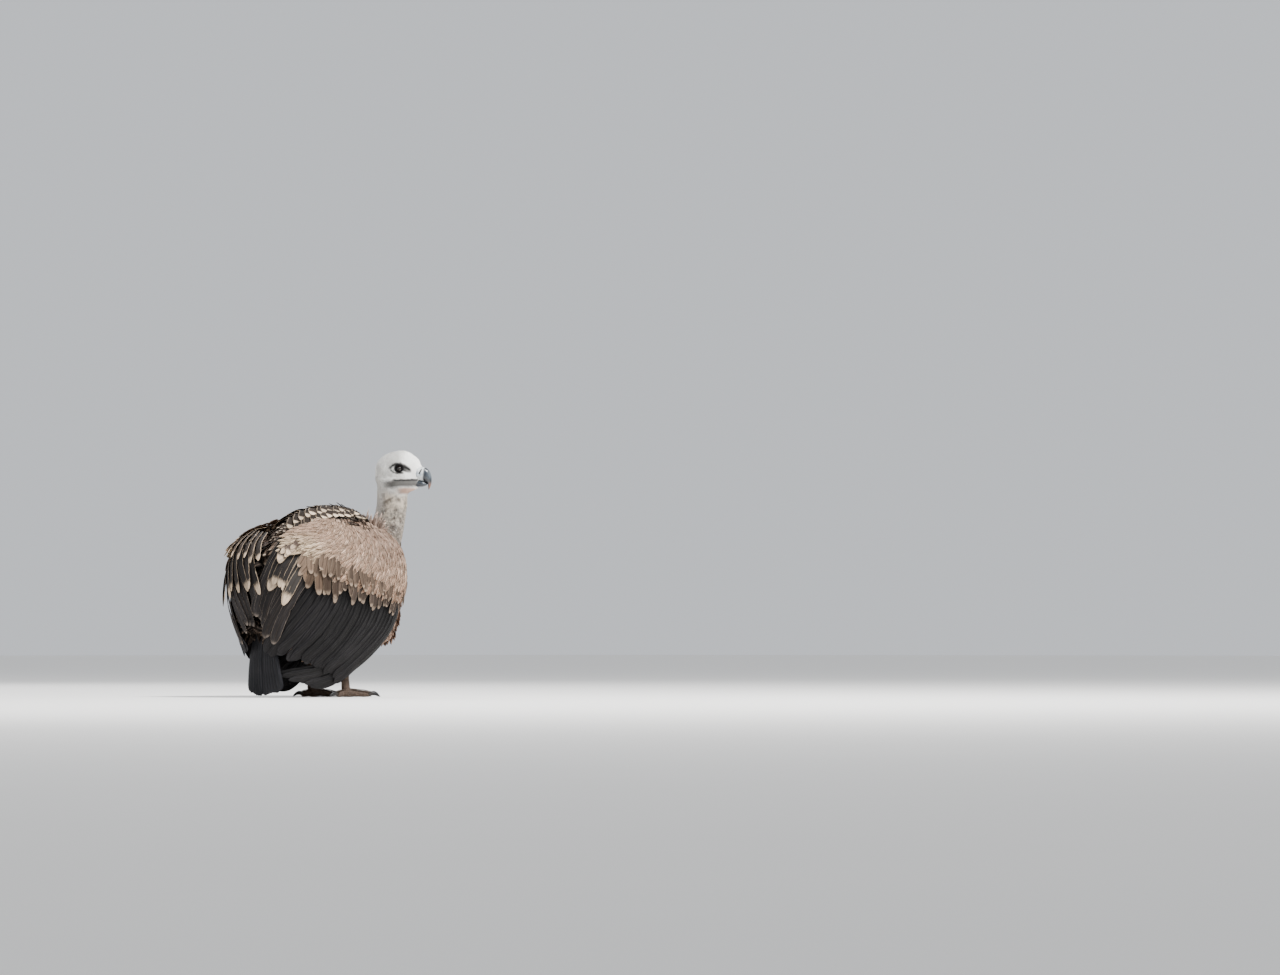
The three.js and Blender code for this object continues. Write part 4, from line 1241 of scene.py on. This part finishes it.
class Vanes:
    def __init__(self, name):
        self.name, self.total, self.count = name, 0, 0
        self.spots, self.faces, self.uv, self.base, self.tint, self.island = [], [], [], [], [], []

    def add(self, spine, out, half, rng, base, tip=0.35, camber=1.4, thick=0.9, tilt=0.0, splits=2):
        rows = len(spine)
        along = unit(np.gradient(spine, axis=0))
        across = unit(np.cross(out, along))
        out = np.cross(along, across)
        c, s = math.cos(tilt), math.sin(tilt)
        across, out = across * c + out * s, out * c - across * s
        t = tipward(rows)
        end = np.clip((t - 1 + tip) / tip, 0, 1)
        ends = np.sqrt(np.maximum(1 - end**2.2, 0.0004)) * np.clip((t + 0.02) / 0.10, 0, 1) ** 0.5
        halves = [half * ends, half * ends]
        for _ in range(splits):
            at, deep, wide = rng.uniform(0.3, 0.92), rng.uniform(0.06, 0.22), rng.uniform(0.02, 0.04)
            halves[0 if rng.random() < 0.5 else 1] *= 1 - deep * np.exp(-(((t - at) / wide) ** 2))
        left, right = (side * (1 + rng.normal(0, 0.02, rows)) for side in halves)
        wide = np.where(columns[None] < 0, left[:, None], right[:, None]) * columns[None]
        shaft = np.where(np.abs(columns) < 0.01, 0.5, 0)
        lift = (camber * (1 - columns**2) + shaft)[None] * ends[:, None]
        deep = thick * 0.5 * (1 - columns**2)
        flat = spine[:, None] + across[:, None] * wide[..., None]
        top = flat + out[:, None] * (lift + deep)[..., None]
        low = flat + out[:, None] * (lift * 0.85 - deep)[..., None]
        ring = np.concatenate([top, low[:, -2:0:-1]], 1)
        sides = ring.shape[1]
        u = np.concatenate([columns, columns[-2:0:-1]]) * 0.5 + 0.5
        self.spots.append(ring.reshape(-1, 3))
        self.faces += [[n + self.total for n in f] for f in ringFaces(rows, sides)]
        self.uv.append(np.stack([np.tile(u, rows), np.repeat(t, sides)], 1))
        self.base.append(np.tile(base, (rows * sides, 1)))
        self.tint.append(np.full(rows * sides, rng.random()))
        self.island.append(np.full(rows * sides, self.count))
        self.total += rows * sides
        self.count += 1

    def build(self, finish, nodes):
        mesh = closedMesh(self.name, toScene(np.vstack(self.spots)).tolist(), self.faces)
        uv, island = np.vstack(self.uv), np.concatenate(self.island)
        corner = np.empty(len(mesh.loops), int)
        mesh.loops.foreach_get("vertex_index", corner)
        mesh.uv_layers.new(name="vane").data.foreach_set("uv", uv[corner].ravel())
        many = math.ceil(math.sqrt(self.count))
        cell = np.stack([island % many, island // many], 1)
        packed = (cell + 0.04 + uv * 0.92) / many
        mesh.uv_layers.new(name="OFBake").data.foreach_set("uv", packed[corner].ravel())
        put(mesh, "base", "FLOAT_COLOR", "POINT", np.clip(np.vstack(self.base), 0, 1))
        put(mesh, "tint", "FLOAT", "POINT", np.concatenate(self.tint))
        made = place(self.name, mesh, finish)
        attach(made, "root")
        if nodes:
            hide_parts(*nodes)
        print(self.name, self.count, "vanes,", len(mesh.polygons), "faces")


# Each fan runs from its first vane to its last. Root, middle and tip are the angle round the wing, the height
# and the depth. inward and spread turn the left wing's vanes over the back.
fans = dict(
    primaries=dict(
        count=8, root=[[131, 262, -22], [126, 282, -22]], middle=[[148, 50, -19], [124, 96, -19]],
        tip=[[44, 26, -19], [14, 60, -17]], half=[14, 14], rows=26, taper=0.12, jitter=4, camber=0.7,
        tilt=0.12,
        tones=("#0c0b0c", "#0d0c0c")),
    secondaries=dict(
        count=24, root=[[134, 280, -15], [50, 348, -15]], middle=[[152, 88, -11], [36, 252, -11]],
        tip=[[82, 50, -13], [8, 122, -10]], half=[16, 16], rows=26, taper=0.1, jitter=5, camber=0.7,
        tilt=0.11,
        tones=("#100e0f", "#0d0b0c")),
    tertials=dict(
        count=9, root=[[46, 352, -9], [26, 420, -12]], middle=[[32, 262, -5], [16, 330, -5]],
        tip=[[18, 146, -4], [8, 222, -3]], half=[13, 14], rows=24, taper=0.16, jitter=8, camber=0.9,
        tones=("#1e1a19", "#171413"), inward=[6, 20], spread=3),
    greater=dict(
        count=24, root=[[134, 286, -9], [44, 376, -9]], middle=[[134, 256, -5], [42, 344, -5]],
        tip=[[133, 228, -4], [38, 286, -3]], half=[8.5, 13.5], rows=15, taper=0.3, jitter=11, tilt=0.13,
        tones=("#3b322c", "#574638"), varied=(0.6, 1.3), toneBend=4),
    median=dict(
        count=30, root=[[135, 306, -7], [42, 404, -7]], middle=[[135, 280, -3], [40, 376, -2]],
        tip=[[134, 258, -1], [37, 338, 1]], half=[7.5, 12], rows=13, taper=0.4, jitter=10, tilt=0.13,
        tones=("#54463b", "#6e5b4c"), varied=(0.6, 1.3), toneBend=4),
    longScapulars=dict(
        count=8, root=[[50, 408, -18], [32, 426, -18]], middle=[[38, 345, -3], [27, 372, -3]],
        tip=[[31, 252, 1], [19, 296, 2]], half=[12.5, 13], rows=20, taper=0.22, jitter=8, camber=1.0,
        tones=("#2b2826", "#1f1c1b"), varied=(0.7, 1.35), inward=[6, 29], spread=5),
    scapulars=dict(
        count=8, root=[[44, 456, -26], [34, 440, -24]], middle=[[38, 432, -9], [29, 414, -6]],
        tip=[[34, 388, 2], [25, 362, 5]], half=[11, 13], rows=16, taper=0.36, jitter=5,
        tones=("#4d4038", "#2b2623"), varied=(0.7, 1.35), inward=[4, 36], spread=9),
)
# Each piece of a wing: its fans, the end of the name of the solids that it replaces, its slot and its look.
wingPieces = {
    "quills_{}": dict(
        fans=("primaries", "secondaries"), nodes=("primaries", "secondaries"), slot="flight",
        finish="quill_vanes",
        look=dict(streak="#050505", streakWide=0.05, streakBy=0.3, fringe="#26252a", fringeBy=0.25,
                  fringeFrom=0.4, tip=0.97, barbs=230, roughness=0.6,
                  quill="#262220", quillBy=0.5, paintedSheen=0.2)),
    "tertials_{}_vanes": dict(
        fans=("tertials",), nodes=("tertials",), slot="flight", finish="tertial_vanes",
        look=dict(streak="#0c0909", streakWide=0.06, streakBy=0.5, fringe="#9a8c80", fringeBy=0.7,
                  fringeFrom=0.45, tip=0.96, barbs=200, roughness=0.7,
                  quill="#4a4039", quillBy=0.4, paintedSheen=0.25)),
    "greater_{}_vanes": dict(
        fans=("greater", "median"), nodes=("greater_coverts",), slot="coverts", finish="greater_vanes",
        look=dict(streak="#1c1512", streakWide=0.1, streakBy=0.6, fringe="#b59f8b", fringeBy=0.6,
                  fringeFrom=0.4, tip=0.88, barbs=140, roughness=0.8, quill="#5a483b", quillBy=0.4)),
    "scapulars_{}_vanes": dict(
        fans=("longScapulars", "scapulars"), nodes=("scapulars",), slot="mantle", finish="scapular_vanes",
        look=dict(streak="#100d0c", streakWide=0.07, streakBy=0.5, fringe="#d0b89e", fringeBy=0.95,
                  fringeFrom=0.43, tip=0.84, barbs=150, roughness=0.75, quill="#4a4039", quillBy=0.4)),
}
wingFinishes = {name: plumageFinish(piece["finish"], **piece["look"]) for name, piece in wingPieces.items()}


def fanVanes(vanes, side, fan, rng):
    jitter, bend = fan["jitter"], fan.get("toneBend", 1)
    first, last = (paint(tone) for tone in fan["tones"])
    for i in range(fan["count"]):
        s = i / (fan["count"] - 1)
        a, b, c = (np.array(fan[k][0]) * (1 - s) + np.array(fan[k][1]) * s for k in ("root", "middle", "tip"))
        c = c + rng.normal(0, jitter, 3) * [0.3, 1, 0.15]
        b = b + rng.normal(0, jitter, 3) * [0.12, 0.5, 0.1]
        if side > 0 and "inward" in fan:
            near, far = fan["inward"]
            turned = near * (1 - s) + far * s
            a, b, c = a - [turned, 0, 0], b - [turned, 0, 0], c - [turned, 0, -fan["spread"] * (1 - s)]
        track = bentSpine(a, b, c, fan["rows"])
        out = domeOutward(side, track[:, 0], track[:, 1])
        colour = (first * (1 - s**bend) + last * s**bend) * rng.uniform(*fan.get("varied", (0.85, 1.15)))
        half = (fan["half"][0] * (1 - s) + fan["half"][1] * s) * rng.uniform(0.88, 1.08)
        vanes.add(onDome(side, *track.T), out, half, rng, colour, tip=fan["taper"],
                  camber=fan.get("camber", 1.4), tilt=side * fan.get("tilt", 0.16))


def wingFeathers(word, side):
    rng = np.random.default_rng(60 + side)
    for name, piece in wingPieces.items():
        vanes = Vanes(name.format(word))
        for fan in piece["fans"]:
            fanVanes(vanes, side, fans[fan], rng)
        vanes.build(wingFinishes[name], [f"wing_{word}_{end}" for end in piece["nodes"]])


for word, side in bothSides:
    wingFeathers(word, side)

# Pale-tipped vanes along both edges of the mantle; each tier: from the middle line, to the side, lift.
mantleRim = dict(
    count=13, ahead=136, behind=-92, half=12.0, rows=14, tiers=((26, 73, 8.0), (8, 50, 10.0)),
    tone="#2b231d", reach=9, lowest=360,
    look=dict(streak="#100d0c", streakWide=0.07, streakBy=0.5, fringe="#dcc5aa", fringeBy=1.0,
              fringeFrom=0.4, tip=0.77, barbs=150, roughness=0.75, quill="#4a4039", quillBy=0.4),
)


def mantleRimFeathers():
    make = mantleRim
    rng = np.random.default_rng(90)
    skin = shells["body"][0]
    skin = skin[skin[:, 2] > make["lowest"]]

    def topAt(x, y):
        near = np.hypot(skin[:, 0] - x, skin[:, 1] - y) < make["reach"]
        return skin[near, 2].max() if near.any() else 380.0

    vanes = Vanes("mantle_rim_vanes")
    for side in (1, -1):
        out = np.tile(unit(np.array([-0.15, side * 0.45, 1.0])), (make["rows"], 1))
        for inner, outer, lift in make["tiers"]:
            for i in range(make["count"]):
                s = i / (make["count"] - 1)
                x = make["ahead"] * (1 - s) + make["behind"] * s + rng.uniform(-4, 4)
                reach = outer + rng.uniform(-6, 6) - 10 * s
                spots = [(x, side * inner), (x - 16, side * (inner + reach) / 2), (x - 38, side * reach)]
                root, middle, tip = (topAt(*spot) for spot in spots)
                heights = [root + 1, middle + lift, max(tip + lift * 0.7, middle - 14)]
                spine = bentSpine(*(np.array([*spot, up]) for spot, up in zip(spots, heights)), make["rows"])
                shade = paint(make["tone"]) * rng.uniform(0.6, 1.2)
                half = make["half"] * rng.uniform(0.85, 1.1)
                vanes.add(spine, out, half, rng, shade, tip=0.4, tilt=side * 0.14)
    vanes.build(plumageFinish("rim_vanes", **make["look"]), ())


mantleRimFeathers()

tailFan = dict(count=14, half=13.5, rows=24, root=(-190, 22, 232), tip=(-194, 64, 3), tone="#0d0e12")


def tailFeathers():
    make = tailFan
    rng = np.random.default_rng(77)
    vanes = Vanes("tail_vanes")
    for i in range(make["count"]):
        s = 2 * i / (make["count"] - 1) - 1
        (backRoot, asideRoot, upRoot), (backTip, asideTip, upTip) = make["root"], make["tip"]
        root = np.array([backRoot + 3 * s * s, s * asideRoot, upRoot])
        tip = np.array([backTip + 7 * s * s, s * asideTip, upTip + 12 * s * s + rng.uniform(0, 6)])
        spine = bentSpine(root, (root + tip) / 2 + [-16, 0, 0], tip, make["rows"])
        spine[:, 0] += 3.2 * abs(s)
        out = np.tile(unit(np.array([-1.0, s * 0.2, 0])), (make["rows"], 1))
        colour = paint(make["tone"]) * rng.uniform(0.85, 1.15)
        vanes.add(spine, out, make["half"], rng, colour, tip=0.08, tilt=0.14 * (1 if s > 0 else -1), splits=3)
    vanes.build(wingFinishes["quills_{}"], ("tail",))


tailFeathers()

# ---- bill, cere, eyes and claws

billShapes = dict(
    bill_upper=dict(
        over=[[60, 2.6], [66, 2.2], [71, -0.6], [77, -7], [81.5, -18], [83, -31], [81.5, -44], [76, -57]],
        under=[[56, -33], [60, -34], [64, -35.5], [68, -37.5], [71, -40.5], [73, -44], [73.5, -49],
               [74.5, -57.5]],
        wide=[13.8, 13.2, 12.4, 11, 8.8, 6.2, 3.6, 0.9], round=2.2, rings=72, sides=48),
    cere=dict(
        over=[[40, 17], [46, 10.5], [53, 6], [60, 4.2], [67, 2.6]],
        under=[[40, -30], [47, -31.5], [54, -32.6], [59, -33.6], [62, -34.6]],
        wide=[19.5, 18.8, 16.6, 14.8, 13.4], round=2.15, rings=90, sides=144),
    bill_lower=dict(
        over=[[36, -31.5], [50, -32.4], [60, -34.2], [67, -37.4], [72, -41.5]],
        under=[[34, -50], [46, -51], [58, -50], [67, -47], [72, -43]],
        wide=[15, 13.6, 11.6, 8.2, 3.4], round=2.1, rings=34, sides=36),
)
nostril = dict(line=[(57, -4), (54.4, -9), (52, -14.5)], deep=3.0, wide=2.3)
tomium = [(0.38, 0.14, 1.3), (0.16, 0.1, -0.8)]  # waves of the upper bill's cutting edge: place, width, depth


def hornFinish():
    shader = Shader("horn", Roughness=0.28, Coat_Weight=0.3, Coat_Roughness=0.15)
    x, z, growth = shader.split(shader.read("bill", "Vector"))
    patch = shader.noise(60, 4, 0.65)
    rings = (growth * 60 + patch * 7).sine()
    # a paler grey culmen ridge: partly a lighter ridge, partly painted highlight
    ridgeAndPaintedHighlight = (x - 0.66).step(0.0, 0.3) * z.step(0.35, 0.85)
    hook = (1 - z.step(0.02, 0.42)) * x.step(0.74, 0.9)
    edge = (growth - 0.5).size().step(0.40, 0.5)
    colour = shader.mix(patch.step(0.4, 0.68), paint("#12151a"), paint("#363f49"))
    colour = shader.layers(colour, (ridgeAndPaintedHighlight * 0.45, "#8d9599"), (hook * 0.9, "#94592c"),
                           (edge * 0.3, "#15171a"))
    colour = shader.shine(rings * 0.05 + shader.noise(420, 3) * 0.3 + 0.85, colour)
    return shader.finish(colour, height=rings * 0.25 + shader.noise(200, 4), distance=0.0003)


def cereFinish():
    shader = Shader("cere_skin", Roughness=0.42, Specular_IOR_Level=0.45)
    fine, broad = shader.noise(300, 4, 0.6), shader.noise(80, 3)
    x, z, growth = shader.split(shader.read("bill", "Vector"))
    # pale grey patches on the cere: partly pale skin, partly painted highlight
    colour = shader.mix(broad.step(0.3, 0.7), paint("#8f989f"), paint("#d3d5d3"))
    colour = shader.layers(colour, ((broad * 0.5 + x).step(0.75, 1.05) * 0.7, "#5b666f"),
                           (growth.step(0.84, 0.95) * 0.75, "#15171a"), (shader.read("dark"), "#070607"))
    return shader.finish(shader.shine(fine * 0.4 + 0.8, colour), height=fine + broad, distance=0.0007)


def makeBill():
    horn, soft = hornFinish(), cereFinish()
    for name, shape in billShapes.items():
        rings = profileRings(**shape)
        rows, sides = rings.shape[:2]
        along = np.repeat(np.linspace(0, 1, rows), sides)
        if name == "bill_upper":
            t = along.reshape(rows, sides)
            under = smooth(-0.2, -0.9, np.sin(np.linspace(0, 2 * np.pi, sides, endpoint=False)))[None]
            for place01, wide, deep in tomium:
                rings[..., 2] -= deep * under * np.exp(-(((t - place01) / wide) ** 2))
        spots = rings.reshape(-1, 3)
        dark = np.zeros(len(spots))
        if name == "cere":
            hole = np.exp(-((toLine(spots[:, 0], spots[:, 2], nostril["line"]) / nostril["wide"]) ** 2))
            hole = hole * smooth(4, 9, np.abs(spots[:, 1]))
            spots[:, 1] -= np.sign(spots[:, 1]) * nostril["deep"] * hole
            dark = smooth(0.3, 0.8, hole)
        share = np.clip((spots[:, [0, 2]] - [40, -58]) / [44, 62], 0, 1)
        mesh = closedMesh(name + "_smooth", toScene(fromHead(spots)).tolist(), ringFaces(rows, sides))
        put(mesh, "bill", "FLOAT_VECTOR", "POINT", np.column_stack([share, along]))
        put(mesh, "dark", "FLOAT", "POINT", dark)
        made = place(name + "_smooth", mesh, soft if name == "cere" else horn)
        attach(made, "root")
        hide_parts(name)


# the eye looks along lookWay; the clear front swells a little over the pupil
eye = dict(lookWay=(0.12, 0.99, 0.02), bulge=0.05, bulgeWide=0.62, pupil=(0.36, 0.42), rim=(0.66, 0.8))


def eyeFinish():
    shader = Shader("eye_glass", Roughness=0.08, Specular_IOR_Level=0.25, Coat_Weight=0.35,
                    Coat_Roughness=0.02)
    ring = shader.read("ring")
    iris = shader.mix(shader.noise(900, 3), paint("#0d0604"), paint("#1f100a"))
    colour = shader.mix(ring.step(*eye["pupil"]), paint("#020202"), iris)
    return shader.finish(shader.layers(colour, (ring.step(*eye["rim"]), "#0d0908")))


def makeEyes():
    finish = eyeFinish()
    for word, side in bothSides:
        work = bmesh.new()
        bmesh.ops.create_uvsphere(work, u_segments=64, v_segments=48, radius=head["eye"])
        mesh = bpy.data.meshes.new(f"eyeball_{word}")
        work.to_mesh(mesh)
        work.free()
        co = np.empty(len(mesh.vertices) * 3)
        mesh.vertices.foreach_get("co", co)
        co = co.reshape(-1, 3)
        ring = np.arccos(np.clip(unit(co) @ unit(np.array(eye["lookWay"]) * [1, side, 1]), -1, 1))
        co = co * (1 + eye["bulge"] * np.exp(-((ring / eye["bulgeWide"]) ** 4)))[:, None]
        spots = fromHead(co + [0, side * head["apart"] / 2, 0])
        mesh.vertices.foreach_set("co", toScene(spots).ravel())
        mesh.polygons.foreach_set("use_smooth", np.full(len(mesh.polygons), True))
        put(mesh, "ring", "FLOAT", "POINT", ring)
        made = place(f"eyeball_{word}", mesh, finish)
        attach(made, "root")
        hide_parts(f"eye_{word}")


claws = dict(
    wide=[4.4, 5, 3.8, 2.2, 0.6], high=[5, 5.8, 4.4, 2.6, 0.7], rings=18, sides=14,
    ahead=[-5, 5, 14.85, 22.95, 27],
    over=[0, 2.5, 0.6, -4], tipHeight=1.6,
)


def clawFinish():
    shader = Shader("claw_horn", Roughness=0.45, Specular_IOR_Level=0.35)
    along = shader.split(shader.read("bill", "Vector"))[0]
    fine = shader.noise(300, 4)
    colour = shader.mix(along.step(0.0, 0.5), paint("#2e2823"), paint("#0c0b0d"))
    return shader.finish(shader.shine(fine * 0.5 + 0.75, colour), height=fine, distance=0.0003)


def makeClaws():
    rows, sides = claws["rings"], claws["sides"]
    spots, faces, along = [], [], []
    for side in (1, -1):
        foot = np.array([stance["ahead"], side * stance["half"], 0.0])
        for turn, long, _, end in toes.values():
            way, aside = toeWays(turn, side)
            heights = [end + over for over in claws["over"]] + [claws["tipHeight"]]
            path = [foot + way * (long + far) + [0, 0, up] for far, up in zip(claws["ahead"], heights)]
            rings = limbRings(path, claws["wide"], claws["high"], aside, rows, sides)
            faces += [[n + len(spots) * rows * sides for n in f] for f in ringFaces(rows, sides)]
            spots.append(rings.reshape(-1, 3))
            along.append(np.repeat(np.linspace(0, 1, rows), sides))
    mesh = closedMesh("claws", toScene(np.vstack(spots)).tolist(), faces)
    put(mesh, "bill", "FLOAT_VECTOR", "POINT", np.tile(np.concatenate(along)[:, None], (1, 3)))
    made = place("claws", mesh, clawFinish())
    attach(made, "root")
    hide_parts(*[f"claw_{word}_{name}" for word in ("left", "right") for name in toes])


makeBill()
makeEyes()
makeClaws()
print("bill, eyes and claws made")

# ---- floor, light and camera


studio = dict(
    floor=120, sky=(0.84, 0.87, 0.92, 1), skyStrength=0.85, aim=(0, 0, 0.35),
    lamps=(((0.3, -2.7, 4.4), 1.1, 540), ((-3.4, -1.2, 2.0), 1.8, 40), ((1.2, 3.6, 3.0), 2.2, 90)),
)
shot = dict(at=(-7878.0, -9111.0, 130.0), turn=45, pitch=2.0788, lens=125, sensor=36)


def makeStage():
    bpy.ops.mesh.primitive_plane_add(size=studio["floor"])
    floor = bpy.context.object
    floor.name = "floor"
    shader = Shader("floor_paper", Roughness=0.9)
    colour = shader.mix(shader.noise(2.5, 2), paint("#f4f2ee"), paint("#f7f5f1"))
    floor.data.materials.append(shader.finish(colour))
    world = bpy.data.worlds.new("sky")
    bpy.context.scene.world = world
    world.use_nodes = True
    sky = world.node_tree.nodes["Background"].inputs
    sky["Color"].default_value, sky["Strength"].default_value = studio["sky"], studio["skyStrength"]
    for spot, size, power in studio["lamps"]:
        light = bpy.data.lights.new("softbox", "AREA")
        light.size, light.energy = size, power
        lamp = bpy.data.objects.new("softbox", light)
        lamp.location = spot
        lamp.rotation_euler = (Vector(studio["aim"]) - Vector(spot)).to_track_quat("-Z", "Y").to_euler()
        bpy.context.scene.collection.objects.link(lamp)


def makeCamera():
    lens = bpy.data.cameras.new("camera")
    lens.sensor_fit, lens.sensor_width, lens.lens = "HORIZONTAL", shot["sensor"], shot["lens"]
    lens.clip_end = 200
    camera = bpy.data.objects.new("camera", lens)
    camera.location = toScene(shot["at"])
    turn, pitch = math.radians(shot["turn"]), math.radians(shot["pitch"])
    way = Vector((math.cos(pitch) * math.cos(turn), math.cos(pitch) * math.sin(turn), math.sin(pitch)))
    camera.rotation_euler = way.to_track_quat("-Z", "Y").to_euler()
    bpy.context.scene.collection.objects.link(camera)
    bpy.context.scene.camera = camera


makeStage()
makeCamera()
print("floor, lamps and camera made")
